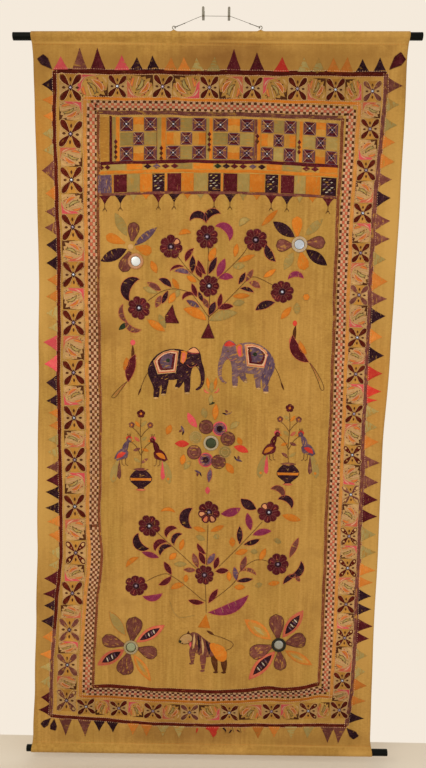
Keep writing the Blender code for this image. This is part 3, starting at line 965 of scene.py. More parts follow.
def points_object(name: str, rows: list[PointRow], height: float) -> bpy.types.Object:
    """Loose points for the copies tree, at a height above the cloth.

    Args:
        name: The object's name.
        rows: Where the points go.
        height: Their height above the cloth.
    Returns:
        The object.
    """
    mesh = bpy.data.meshes.new(name)
    mesh.from_pydata([(x, -height, z) for x, z, _, _, _ in rows], [], [])
    turn = mesh.attributes.new("turn", "FLOAT", "POINT")
    turn.data.foreach_set("value", [-angle for _, _, angle, _, _ in rows])
    size = mesh.attributes.new("size", "FLOAT_VECTOR", "POINT")
    size.data.foreach_set("vector", [part for _, _, _, wide, tall in rows for part in (wide, 1.0, tall)])
    return link(name, mesh)


def lines_object(name: str, lines: Iterable[Line], height: float = 0.0) -> bpy.types.Object:
    """Lines for the row and thread trees, as edges at a height above the cloth, added to their own.

    Args:
        name: The object's name.
        lines: The lines.
        height: What is added to their height above the cloth.
    Returns:
        The object.
    """
    places: list[tuple[float, float, float]] = []
    edges: list[tuple[int, int]] = []
    for line, closed in lines:
        first = len(places)
        places += [(float(x), -height - float(sum(more)), float(z)) for x, z, *more in line]
        edges += [(first + n, first + n + 1) for n in range(len(line) - 1)]
        if closed:
            edges.append((len(places) - 1, first))
    mesh = bpy.data.meshes.new(name)
    mesh.from_pydata(places, edges, [])
    return link(name, mesh)


# Cutting and laying patches


def mm(points: Any) -> np.ndarray:
    """Points given in mm, in metres."""
    return np.asarray(points, float) * MM


def motif(x: float, z: float, hand: float = 1.0, tall: float = 1.0) -> Callable[[Any], np.ndarray]:
    """What carries a motif's own places in mm to the cloth; hand -1 turns it left for right."""
    return lambda points: mm(np.asarray(points, float) * (hand, tall) + (x, z))


def left_of(ways: np.ndarray) -> np.ndarray:
    """Each way turned a quarter to the left."""
    return np.stack([-ways[:, 1], ways[:, 0]], axis=1)


def unit(ways: np.ndarray) -> np.ndarray:
    """Each way at a length of 1."""
    return ways / np.maximum(np.linalg.norm(ways, axis=1), 1e-9)[:, None]


def run_along(line: np.ndarray) -> np.ndarray:
    """How far along a line each of its points is."""
    return np.concatenate([[0.0], np.cumsum(np.linalg.norm(np.diff(line, axis=0), axis=1))])


def circle(sides: int) -> np.ndarray:
    """The angles of a ring's points."""
    return np.arange(sides) * TAU / sides


def grid_faces(rows: int, columns: int, closed: bool = True) -> list[tuple[int, ...]]:
    """The quads between rows of vertices, each row closed on itself or not."""
    return [(row * columns + n, row * columns + (n + 1) % columns, (row + 1) * columns + (n + 1) % columns,
             (row + 1) * columns + n)
            for row in range(rows - 1) for n in range(columns if closed else columns - 1)]


def hermite(start: Any, end: Any, first: Any, last: Any, t: Any) -> Any:
    """A smooth way from start to end that sets out along first and arrives along last."""
    return (start * (2 * t**3 - 3 * t**2 + 1) + first * (t**3 - 2 * t**2 + t)
            + end * (3 * t**2 - 2 * t**3) + last * (t**3 - t**2))


def turned(points: Any, angle: float) -> np.ndarray:
    """Points turned anticlockwise about the origin."""
    points = np.asarray(points, float)
    cos, sin = math.cos(angle), math.sin(angle)
    return points @ np.array([[cos, sin], [-sin, cos]])


def spaced_line(points: Any, step: float, closed: bool) -> np.ndarray:
    """Adds points to a line so that none of its steps is longer than step; its own corners stay.

    Args:
        points: The line's corners.
        step: The longest step.
        closed: Whether the line closes on itself.
    Returns:
        The new points.
    """
    points = np.asarray(points, float)
    ends = np.roll(points, -1, axis=0) if closed else points[1:]
    found = []
    for start, end in zip(points, ends):
        parts = max(1, math.ceil(float(np.linalg.norm(end - start)) / step))
        found += [mix(start, end, part / parts) for part in range(parts)]
    if not closed:
        found.append(points[-1])
    return np.array(found)


def rounded(points: Any, closed: bool, parts: int = 4) -> np.ndarray:
    """A smooth line through a few points, as a Catmull-Rom curve.

    Args:
        points: The points that the line passes.
        closed: Whether it closes on itself.
        parts: Steps from point to point.
    Returns:
        The new points.
    """
    points = np.asarray(points, float)
    if closed:
        ring = np.concatenate([points[-1:], points, points[:2]])
    else:
        ring = np.concatenate([2 * points[:1] - points[1:2], points, 2 * points[-1:] - points[-2:-1]])
    found = []
    for before, start, end, after in zip(ring, ring[1:], ring[2:], ring[3:]):
        for part in range(parts):
            t = part / parts
            found.append(0.5 * (
                2 * start + (end - before) * t + (2 * before - 5 * start + 4 * end - after) * t**2
                + (3 * start - before - 3 * end + after) * t**3))
    if not closed:
        found.append(points[-1])
    return np.array(found)


def spine(start: Any, tip: Any, bend: float, steps: int) -> tuple[np.ndarray, np.ndarray]:
    """A bent line from start to tip and its left-hand normals; bend is the bow as a share of the length.

    Args:
        start: Where it starts.
        tip: Where it ends.
        bend: Its bow.
        steps: Its steps.
    Returns:
        Its points and its normals.
    """
    start, tip = np.asarray(start, float), np.asarray(tip, float)
    along = tip - start
    left = np.array([-along[1], along[0]])
    t = np.linspace(0.0, 1.0, steps + 1)[:, None]
    line = start + along * t + left * bend * 4.0 * t * (1.0 - t)
    return line, unit(left_of(along + left * bend * 4.0 * (1.0 - 2.0 * t)))


def leaf(start: Any, tip: Any, width: float, bend: float = 0.0, steps: int = 9) -> np.ndarray:
    """A leaf, pointed at both ends."""
    line, normal = spine(start, tip, bend, steps)
    half = 0.5 * width * np.sin(math.pi * np.linspace(0.0, 1.0, steps + 1)) ** 0.85
    return np.concatenate([line + normal * half[:, None], (line - normal * half[:, None])[-2:0:-1]])


def petal(start: Any, tip: Any, width: float, bend: float = 0.0, foot: float = 0.22,
          steps: int = 9) -> np.ndarray:
    """A petal: narrow at its foot, widest past its middle and round at its tip.

    Args:
        start: The petal's foot.
        tip: Its tip.
        width: Its greatest width.
        bend: Its bow as a share of its length.
        foot: Its width at the foot as a share of the greatest.
        steps: Its steps on each side.
    Returns:
        The outline.
    """
    line, normal = spine(start, tip, bend, steps)
    t = np.linspace(0.0, 1.0, steps + 1)
    half = 0.5 * width * (foot + (1.0 - foot) * np.sin(0.5 * math.pi * np.clip(t / 0.68, 0.0, 1.0)) ** 1.3)
    half = half * np.sqrt(np.clip(1.0 - (np.clip(t - 0.68, 0.0, 1.0) / 0.32) ** 2, 0.0, 1.0))
    return np.concatenate([line + normal * half[:, None], (line - normal * half[:, None])[-2::-1]])


def arc(start: Any, tip: Any, bow: float, steps: int) -> np.ndarray:
    """A round arc from start to tip, whose middle stands bow to the left of the line between them.

    Args:
        start: Where it starts.
        tip: Where it ends.
        bow: How far its middle stands out.
        steps: Its steps.
    Returns:
        Its points.
    """
    start, tip = np.asarray(start, float), np.asarray(tip, float)
    half = 0.5 * float(np.linalg.norm(tip - start))
    along = 0.5 * (tip - start) / half
    left = np.array([-along[1], along[0]])
    sweep = 2.0 * math.atan2(abs(bow), half)
    if sweep < 0.02:
        return mix(start, tip, np.linspace(0.0, 1.0, steps + 1)[:, None])
    radius = half / math.sin(sweep)
    turn = sweep * np.linspace(-1.0, 1.0, steps + 1)[:, None]
    rise = radius * (np.cos(turn) - math.cos(sweep)) * math.copysign(1.0, bow)
    return 0.5 * (start + tip) + left * rise + along * radius * np.sin(turn)


def crescent(start: Any, tip: Any, width: float, bend: float, steps: int = 11) -> np.ndarray:
    """A horn-shaped leaf: bend is the bow of its outer side as a share of its length, width its thickness."""
    bow = 1.1 * bend * float(np.linalg.norm(np.subtract(tip, start)))
    thick = min(width, 0.72 * abs(bow))
    inner = arc(start, tip, bow - math.copysign(thick, bow), steps)
    return np.concatenate([arc(start, tip, bow, steps), inner[-2:0:-1]])


def disc(centre: Any, radius: float, sides: int = 16, squash: float = 1.0) -> np.ndarray:
    """A round patch."""
    angles = circle(sides)
    return np.asarray(centre, float) + radius * np.stack([np.cos(angles), squash * np.sin(angles)], axis=1)


def box_points(low: Any, high: Any) -> np.ndarray:
    """The corners of an upright rectangle."""
    (x0, z0), (x1, z1) = low, high
    return np.array([(x0, z0), (x1, z0), (x1, z1), (x0, z1)], float)


def anticlockwise(outline: np.ndarray) -> np.ndarray:
    """The outline in anticlockwise order seen from the front."""
    after = np.roll(outline, -1, axis=0)
    area = float((outline[:, 0] * after[:, 1] - after[:, 0] * outline[:, 1]).sum())
    return outline if area > 0.0 else outline[::-1]


def inside(points: np.ndarray, outline: np.ndarray) -> np.ndarray:
    """Which points lie inside a closed outline.

    Args:
        points: The points to test.
        outline: The outline's corners.
    Returns:
        True for each point inside.
    """
    found = np.zeros(len(points), bool)
    for (x0, z0), (x1, z1) in zip(outline, np.roll(outline, -1, axis=0)):
        if z0 == z1:
            continue
        crosses = (points[:, 1] > min(z0, z1)) & (points[:, 1] <= max(z0, z1))
        at = x0 + (points[:, 1] - z0) * (x1 - x0) / (z1 - z0)
        found ^= crosses & (points[:, 0] < at)
    return found


@dataclass
class Shell:
    """The growing mesh of the patches of one dye."""

    places: list[np.ndarray] = field(default_factory=list)
    faces: list[tuple[int, ...]] = field(default_factory=list)
    rows: list[np.ndarray] = field(default_factory=list)
    tones: list[np.ndarray] = field(default_factory=list)
    count: int = 0

    def add(self, places: np.ndarray, faces: list[tuple[int, ...]], rows: np.ndarray, tone: float) -> None:
        """Adds a patch: its places, faces, UV in metres and tone.

        Args:
            places: (n, 3) places.
            faces: Its faces.
            rows: (n, 2) UV.
            tone: Its tone, from -1 to 1 for most patches.
        """
        self.faces += [tuple(n + self.count for n in face) for face in faces]
        self.places.append(places)
        self.rows.append(rows)
        self.tones.append(np.full(len(places), tone))
        self.count += len(places)

    def build(self, name: str) -> bpy.types.Object:
        """The mesh object, with its UV map and its tone attribute.

        Args:
            name: The object's name.
        Returns:
            The object.
        """
        mesh = bpy.data.meshes.new(name)
        mesh.from_pydata(np.concatenate(self.places).tolist(), [], self.faces)
        rows = np.concatenate(self.rows)
        corners = np.empty(len(mesh.loops), np.int32)
        mesh.loops.foreach_get("vertex_index", corners)
        sewn = mesh.uv_layers.new(name="sewn")
        sewn.data.foreach_set("uv", rows[corners].astype(np.float32).ravel())
        tone = mesh.attributes.new("tone", "FLOAT", "POINT")
        tone.data.foreach_set("value", np.concatenate(self.tones).astype(np.float32))
        return link(name, mesh)


class Patchwork:
    """Cuts patches with turned-in edges, keeps them by dye, and edges them with couched threads."""

    turn_in = 1.1 * MM
    lift = 1.0 * MM
    foot = 0.12 * MM
    level_step = 0.75 * MM
    outline_step = 4.5 * MM
    fill_step = 9.0 * MM
    thread_radius = 0.6 * MM
    stem_radius = 0.85 * MM

    def __init__(self, name: str, seed: int) -> None:
        """Starts with no patches; the seed fixes the tones."""
        self.name = name
        self.shells: dict[Dye, Shell] = {}
        self.threads: dict[Dye, list[Line]] = {}
        self.chance = random.Random(seed)

    def sew(self, dye: Dye, outline: Any, run: float = 0.0, level: float = 0.0, thread: Dye | None = None,
            lift: float | None = None) -> None:
        """Cuts and sews one patch.

        Args:
            dye: Its colour.
            outline: Its outline, as (n, 2) X and Z in metres.
            run: The direction of its stitch rows, in radians from +X.
            level: 0 on the ground cloth, 1 on a patch, 2 on both.
            thread: The dye of the thread couched round it, if there is one.
            lift: How far it stands up, where that isn't the usual.
        """
        base = self.foot + level * self.level_step
        places, faces = self.shell(anticlockwise(np.asarray(outline, float)), base, lift or self.lift)
        rows = turned(places[:, [0, 2]], -run)
        self.shells.setdefault(dye, Shell()).add(places, faces, rows, self.chance.uniform(-1.0, 1.0))
        if thread is not None:
            self.couch(thread, outline, True, base + 0.9 * (lift or self.lift))

    def couch(self, dye: Dye, line: Any, closed: bool = False, height: float = 0.75 * MM) -> None:
        """Lays a thread along a line at a height above the cloth."""
        places = spaced_line(line, self.outline_step, closed)
        raised = np.column_stack([places, np.full(len(places), height)])
        self.threads.setdefault(dye, []).append((raised, closed))

    def shell(self, outline: np.ndarray, base: float,
              lift: float) -> tuple[np.ndarray, list[tuple[int, ...]]]:
        """A patch as an open shell: a rim rolled down to the cloth and a top that follows the folds.

        Args:
            outline: The anticlockwise outline.
            base: The height of its rim.
            lift: The height of its top above the rim.
        Returns:
            Its places (x, minus the height, z) and faces.
        """
        outline = spaced_line(outline, self.outline_step, True)
        count = len(outline)
        inward = unit(left_of(np.roll(outline, -1, axis=0) - np.roll(outline, 1, axis=0)))
        far = np.linalg.norm(outline[:, None] - outline[None], axis=2)
        steps = np.abs(np.arange(count)[:, None] - np.arange(count)[None])
        far[np.minimum(steps, count - steps) <= 1] = 1.0
        turn = np.minimum(self.turn_in, 0.3 * far.min(axis=1))[:, None]
        shoulder = outline + inward * turn * 0.35
        rim = outline + inward * turn
        low, high = rim.min(axis=0), rim.max(axis=0)
        grid = np.stack(np.meshgrid(
            np.arange(low[0] + 0.5 * self.fill_step, high[0], self.fill_step),
            np.arange(low[1] + 0.5 * self.fill_step, high[1], self.fill_step)), axis=-1).reshape(-1, 2)
        if len(grid):
            clear = np.linalg.norm(grid[:, None] - rim[None], axis=2).min(axis=1) > 0.35 * self.fill_step
            grid = grid[inside(grid, rim) & clear]
        points = [Vector(point) for point in np.concatenate([rim, grid])]
        spread, _, cells, origins, _, _ = delaunay_2d_cdt(points, [], [list(range(count))], 1, 1e-7)
        top = np.array([(point.x, point.y) for point in spread])
        found = {index: place for place, given in enumerate(origins) for index in given}
        puff = np.array([0.25 if given and min(given) >= count else 0.0 for given in origins])
        heights = np.concatenate([
            np.full(count, base), np.full(count, base + 0.72 * lift), base + lift + puff * MM])
        flat = np.concatenate([outline, shoulder, top])
        faces: list[tuple[int, ...]] = []
        for here in range(count):
            after = (here + 1) % count
            faces.append((here, after, count + after, count + here))
            ends = 2 * count + found[after], 2 * count + found[here]
            faces.append((count + here, count + after, *ends) if ends[0] != ends[1]
                         else (count + here, count + after, ends[0]))
        for cell in cells:
            a, b, c = (top[n] for n in cell)
            if (b[0] - a[0]) * (c[1] - a[1]) - (c[0] - a[0]) * (b[1] - a[1]) > 0.0:
                faces.append(tuple(2 * count + n for n in cell))
            else:
                faces.append(tuple(2 * count + n for n in cell[::-1]))
        return np.stack([flat[:, 0], -heights, flat[:, 1]], axis=1), faces

    def template(self, dye: Dye) -> bpy.types.Object:
        """The patches of a dye as one flat object, to be copied."""
        return self.shells[dye].build(f"{self.name}_{dye.name.lower()}_template")

    def thread_template(self, dye: Dye, radius: float) -> bpy.types.Object:
        """The threads of a dye as one flat object, to be copied."""
        name = f"{self.name}_thread_{dye.name.lower()}_template"
        return THREADS.run(lines_object(name, self.threads[dye]), name, None, {
            "Stitch": 5.0 * MM, "Sides": 4, "Radius": radius})

    def finish(self) -> None:
        """Lays every dye's patches and threads on the cloth."""
        lay_shells(self.name, self.shells)
        for dye, lines in self.threads.items():
            name = f"{self.name}_thread_{dye.name.lower()}"
            radius = self.stem_radius if dye is Dye.BARK else self.thread_radius
            piece = THREADS.run(lines_object(name, lines), name, TwistedThread(dye), {"Radius": radius})
            finish_piece(SHAPE.lay(piece))


def lay_shells(name: str, shells: dict[Dye, Shell]) -> None:
    """Lays the patches of each dye on the cloth as a piece."""
    for dye, shell in shells.items():
        finish_piece(SHAPE.lay(shell.build(f"{name}_{dye.name.lower()}")), DyedCotton(dye))


def copy_to_points(template: bpy.types.Object, name: str, rows: list[PointRow], finish: Any, seed: int,
                   uneven: float = 0.05, height: float = 0.0) -> None:
    """Sews copies of a flat template at points and lays them on the cloth.

    Args:
        template: The shape to copy, which is removed.
        name: The piece's name.
        rows: Where the copies go.
        finish: What they are made of.
        seed: What fixes their unevenness.
        uneven: How far each is turned at most, in radians.
        height: How far above the cloth they start.
    """
    piece = COPIES.run(points_object(name, rows, height), name, finish, {
        "Copy": template, "Seed": seed, "Turn unevenness": uneven})
    finish_piece(SHAPE.lay(piece))


# The border


def line_at(rows: tuple[tuple[float, float], ...], along: Any) -> np.ndarray:
    """Reads a line given by (along, across) rows in mm, with a smooth curve between them, in metres.

    Args:
        rows: The line's rows.
        along: Where to read it, in metres.
    Returns:
        How far across it is there.
    """
    table = np.array(sorted(rows), float) * MM
    places, values = table[:, 0], table[:, 1]
    slopes = np.gradient(values, places)
    along = np.clip(np.asarray(along, float), places[0], places[-1])
    index = np.clip(np.searchsorted(places, along) - 1, 0, len(places) - 2)
    span = places[index + 1] - places[index]
    return hermite(values[index], values[index + 1], slopes[index] * span, slopes[index + 1] * span,
                   (along - places[index]) / span)


OUTER_BAND = {
    Side.LEFT: ((-150, -457), (-285, -459.5), (-451, -456.5), (-621, -451.5), (-1091, -456), (-1336, -453.5),
                (-1588, -456.5), (-1717, -469), (-1880, -484), (-2098, -493.5)),
    Side.RIGHT: ((-148, 483.5), (-219, 484), (-439, 470), (-580, 464.5), (-781, 463.5), (-1167, 461.5),
                 (-1413, 462.5), (-1699, 461), (-1994, 457.5), (-2112, 446)),
    Side.TOP: ((-457, -152), (-200, -151), (50, -150.5), (480, -149)),
    Side.BOTTOM: ((-495, -2098), (-305, -2110), (-136, -2120), (55, -2119.5), (267, -2115), (446, -2112)),
}
INNER_BAND = {
    Side.LEFT: ((-262, -333), (-792, -335), (-1100, -332), (-1290, -332), (-1440, -336), (-1585, -330),
                (-1717, -343), (-1830, -351), (-1998, -358)),
    Side.RIGHT: ((-271, 366), (-640, 360), (-942, 362), (-1100, 362), (-1400, 359.5), (-1700, 359),
                 (-1982, 354)),
    Side.TOP: ((-334, -262), (0, -263), (200, -266), (366, -271)),
    Side.BOTTOM: ((-359, -1998), (-270, -1996.5), (-165, -2003.5), (-40, -2007), (60, -2005.5), (150, -1998),
                  (200, -1991), (250, -1994), (300, -1989), (354, -1974)),
}


@dataclass(frozen=True)
class BorderSide:
    """One side of the border: shares of the way in from the outer band, and sizes in mm."""

    petals: float
    orange: float
    checks: float
    check_pitch: float
    check_stretch: float
    flower: tuple[float, float]
    places: tuple[float, ...]


BORDER_SIDES = {
    Side.LEFT: BorderSide(0.37, 0.70, 0.862, 7.6, 1.21, (32.0, 37.5), (
        -196, -323, -451, -584, -720, -860, -1008, -1144, -1272, -1417, -1563, -1693, -1812, -1927, -2046)),
    Side.RIGHT: BorderSide(0.315, 0.61, 0.80, 6.8, 1.26, (27.0, 28.5), (
        -196, -299, -413, -533, -646, -767, -891, -999, -1118, -1243, -1365, -1495, -1596, -1712, -1821,
        -1962, -2060)),
    Side.TOP: BorderSide(0.36, 0.66, 0.83, 6.7, 1.235, (27.0, 31.0), (-278, -149, -16, 107, 234, 342)),
    Side.BOTTOM: BorderSide(0.375, 0.69, 0.845, 6.4, 1.31, (28.5, 26.0),
                            (-380, -276, -168, -52, 74, 207, 323)),
}
SIDE_ORDER = (Side.TOP, Side.RIGHT, Side.BOTTOM, Side.LEFT)
UPRIGHTS = (Side.LEFT, Side.RIGHT)
# Half the size in mm at which the flower and the leaf cell are drawn, before their copies are sized
UNIT = 30.0


@dataclass(frozen=True)
class Strip:
    """One side of a band: its half width in mm, its dye and its tone."""

    half: float
    dye: Dye
    tone: float


@dataclass(frozen=True)
class Band:
    """A folded strip round the border.

    Its share is how far it runs in from the outer band, or None for each side's own orange line.
    The seeds make its way and its width stray, and its lift is in mm.
    """

    share: float | None
    way_seed: float
    width_seed: float
    lift: float
    stitches: Dye
    sides: dict[Side, Strip]


BANDS = {
    "outer": Band(0.0, 0.4, 1.0, 1.1, Dye.BLUSH, {
        Side.TOP: Strip(6.7, Dye.OXBLOOD, -0.4), Side.RIGHT: Strip(6.3, Dye.MAUVE, 0.0),
        Side.BOTTOM: Strip(5.7, Dye.OXBLOOD, 0.9), Side.LEFT: Strip(5.6, Dye.OXBLOOD, 0.0)}),
    "inner": Band(1.0, 3.1, 5.0, 1.0, Dye.ECRU, {
        Side.TOP: Strip(5.8, Dye.MAUVE, -0.6), Side.RIGHT: Strip(4.7, Dye.RUSSET, 0.5),
        Side.BOTTOM: Strip(6.2, Dye.OXBLOOD, 1.3), Side.LEFT: Strip(4.3, Dye.RUSSET, 0.5)}),
    "orange": Band(None, 1.7, 9.0, 1.0, Dye.BLUSH, {
        Side.TOP: Strip(4.1, Dye.ORANGE, 0.6), Side.RIGHT: Strip(5.6, Dye.APRICOT, 0.0),
        Side.BOTTOM: Strip(4.3, Dye.ORANGE, -0.9), Side.LEFT: Strip(5.8, Dye.APRICOT, 0.0)}),
}


# The flags of the upright sides from the top down: colour, Z, half height and reach, in mm
LEFT_FLAGS = (
    ("N", -188, 22, 33), ("O", -231, 15, 32), ("O", -275, 15, 29), ("P", -321, 21, 32), ("P", -366, 19, 32),
    ("V", -424, 31, 38), ("O", -488, 22, 30), ("V", -542, 18, 33), ("V", -587, 21, 36), ("N", -636, 24, 33),
    ("N", -688, 23, 33), ("O", -737, 19, 31), ("O", -783, 20, 34), ("P", -833, 23, 34), ("P", -874, 15, 28),
    ("K", -921, 25, 43), ("K", -981, 27, 40), ("N", -1041, 27, 35), ("N", -1092, 20, 35),
    ("O", -1131, 15, 29), ("O", -1168, 15, 29), ("P", -1211, 18, 35), ("P", -1251, 20, 35),
    ("V", -1294, 20, 39), ("M", -1334, 23, 40), ("N", -1375, 22, 42), ("N", -1422, 20, 44),
    ("O", -1463, 19, 39), ("O", -1510, 22, 36), ("P", -1564, 21, 33), ("P", -1602, 16, 34),
    ("M", -1647, 26, 43), ("M", -1696, 19, 43), ("N", -1735, 21, 36), ("N", -1787, 23, 41),
    ("O", -1836, 21, 33), ("O", -1895, 17, 38), ("P", -1935, 17, 35), ("P", -1985, 22, 33),
    ("M", -2039, 22, 29), ("M", -2079, 20, 35),
)
RIGHT_FLAGS = (
    ("V", -180, 24, 45), ("P", -232, 22, 37), ("P", -287, 21, 37), ("O", -334, 21, 37), ("O", -386, 24, 43),
    ("V", -439, 22, 40), ("N", -492, 25, 41), ("V", -557, 26, 45), ("V", -606, 24, 47), ("P", -663, 23, 39),
    ("O", -726, 30, 47), ("V", -778, 23, 48), ("N", -828, 26, 46), ("O", -886, 25, 40), ("N", -942, 27, 48),
    ("R", -996, 24, 46), ("R", -1050, 21, 45), ("R", -1078, 9, 35), ("P", -1110, 21, 41),
    ("P", -1155, 21, 38), ("O", -1204, 23, 44), ("V", -1265, 23, 49), ("V", -1326, 25, 47),
    ("M", -1379, 25, 48), ("M", -1432, 23, 48), ("P", -1488, 25, 47), ("P", -1545, 24, 50),
    ("O", -1599, 22, 50), ("O", -1640, 19, 44), ("N", -1682, 22, 41), ("N", -1727, 21, 43),
    ("M", -1779, 24, 50), ("M", -1821, 21, 40), ("P", -1877, 23, 37), ("P", -1932, 25, 34),
    ("O", -1975, 23, 43), ("O", -2028, 18, 46), ("N", -2085, 20, 48),
)


def border_at(side: Side, along: Any, share: float) -> np.ndarray:
    """X or Z of the border's line a share of the way from the outer band (0) to the inner one (1)."""
    return mix(line_at(OUTER_BAND[side], along), line_at(INNER_BAND[side], along), share)


def border_corner(upright: Side, level: Side, share_upright: float,
                  share_level: float) -> tuple[float, float]:
    """Where a line of an upright side meets a line of a level side.

    Args:
        upright: The upright side.
        level: The level side.
        share_upright: How far in the line is on the upright side.
        share_level: How far in it is on the level side.
    Returns:
        X and Z.
    """
    x, z = float(border_at(upright, -1.0, share_upright)), 0.0
    for _ in range(4):
        z = float(border_at(level, x, share_level))
        x = float(border_at(upright, z, share_upright))
    return x, z


def border_line(side: Side, shares: dict[Side, float], step: float) -> np.ndarray:
    """A border line along one side, from corner to corner, clockwise.

    Args:
        side: The side.
        shares: The line's share on each side.
        step: The distance between its points.
    Returns:
        (n, 2) X and Z.
    """
    place = SIDE_ORDER.index(side)
    before, after = SIDE_ORDER[place - 1], SIDE_ORDER[(place + 1) % 4]
    upright = side in UPRIGHTS
    ends = []
    for other in (before, after):
        pair = (side, other) if upright else (other, side)
        ends.append(border_corner(*pair, shares[pair[0]], shares[pair[1]]))
    start, end = (ends[0][1], ends[1][1]) if upright else (ends[0][0], ends[1][0])
    along = np.linspace(start, end, max(2, round(abs(end - start) / step)) + 1)
    across = border_at(side, along, shares[side])
    return np.stack([across, along] if upright else [along, across], axis=1)


def wavering(line: np.ndarray, size: float, seed: float) -> np.ndarray:
    """A line sewn by hand: it strays a little to either side."""
    run = run_along(line)
    stray = np.sin(TAU * run / 0.231 + seed) + 0.6 * np.sin(TAU * run / 0.097 + 2.3 * seed)
    ends = smooth(np.minimum(run, run[-1] - run) / 0.03)
    return line + unit(left_of(np.gradient(line, axis=0))) * (stray * ends * size)[:, None]


# The share of its half width and of its height at each point of a strip's section
STRIP_SECTION = ((-1.0, 0.0), (-0.82, 0.8), (-0.4, 1.0), (0.0, 1.0), (0.4, 1.0), (0.82, 0.8), (1.0, 0.0))


def sew_strip(shell: Shell, line: np.ndarray, half: float, lift: float, tone: float, seed: float) -> None:
    """Adds a folded strip along a line to a shell, mitred at the line's corners.

    Args:
        shell: The mesh that it joins.
        line: (n, 2) X and Z.
        half: Half its width, in mm.
        lift: How far it stands up, in mm.
        tone: Its tone.
        seed: What makes its width stray in its own way.
    """
    ahead = unit(np.concatenate([np.diff(line, axis=0), line[-1:] - line[-2:-1]]))
    back = np.concatenate([ahead[:1], ahead[:-1]])
    normal = unit(left_of(back + ahead))
    mitre = 1.0 / np.maximum((normal * left_of(ahead)).sum(axis=1), 0.5)
    run = run_along(line)
    wide = half * MM * (1.0 + 0.07 * np.sin(run / 0.031 + seed) + 0.05 * np.sin(run / 0.013 + 2.0 * seed))
    places, rows = [], []
    for share, rise in STRIP_SECTION:
        flat = line + normal * (mitre * wide * share)[:, None]
        height = Patchwork.foot + lift * MM * rise
        places.append(np.stack([flat[:, 0], np.full(len(line), -height), flat[:, 1]], axis=1))
        rows.append(np.stack([run, wide * share], axis=1))
    faces = grid_faces(len(STRIP_SECTION), len(line), closed=False)
    shell.add(np.concatenate(places), faces, np.concatenate(rows), tone)


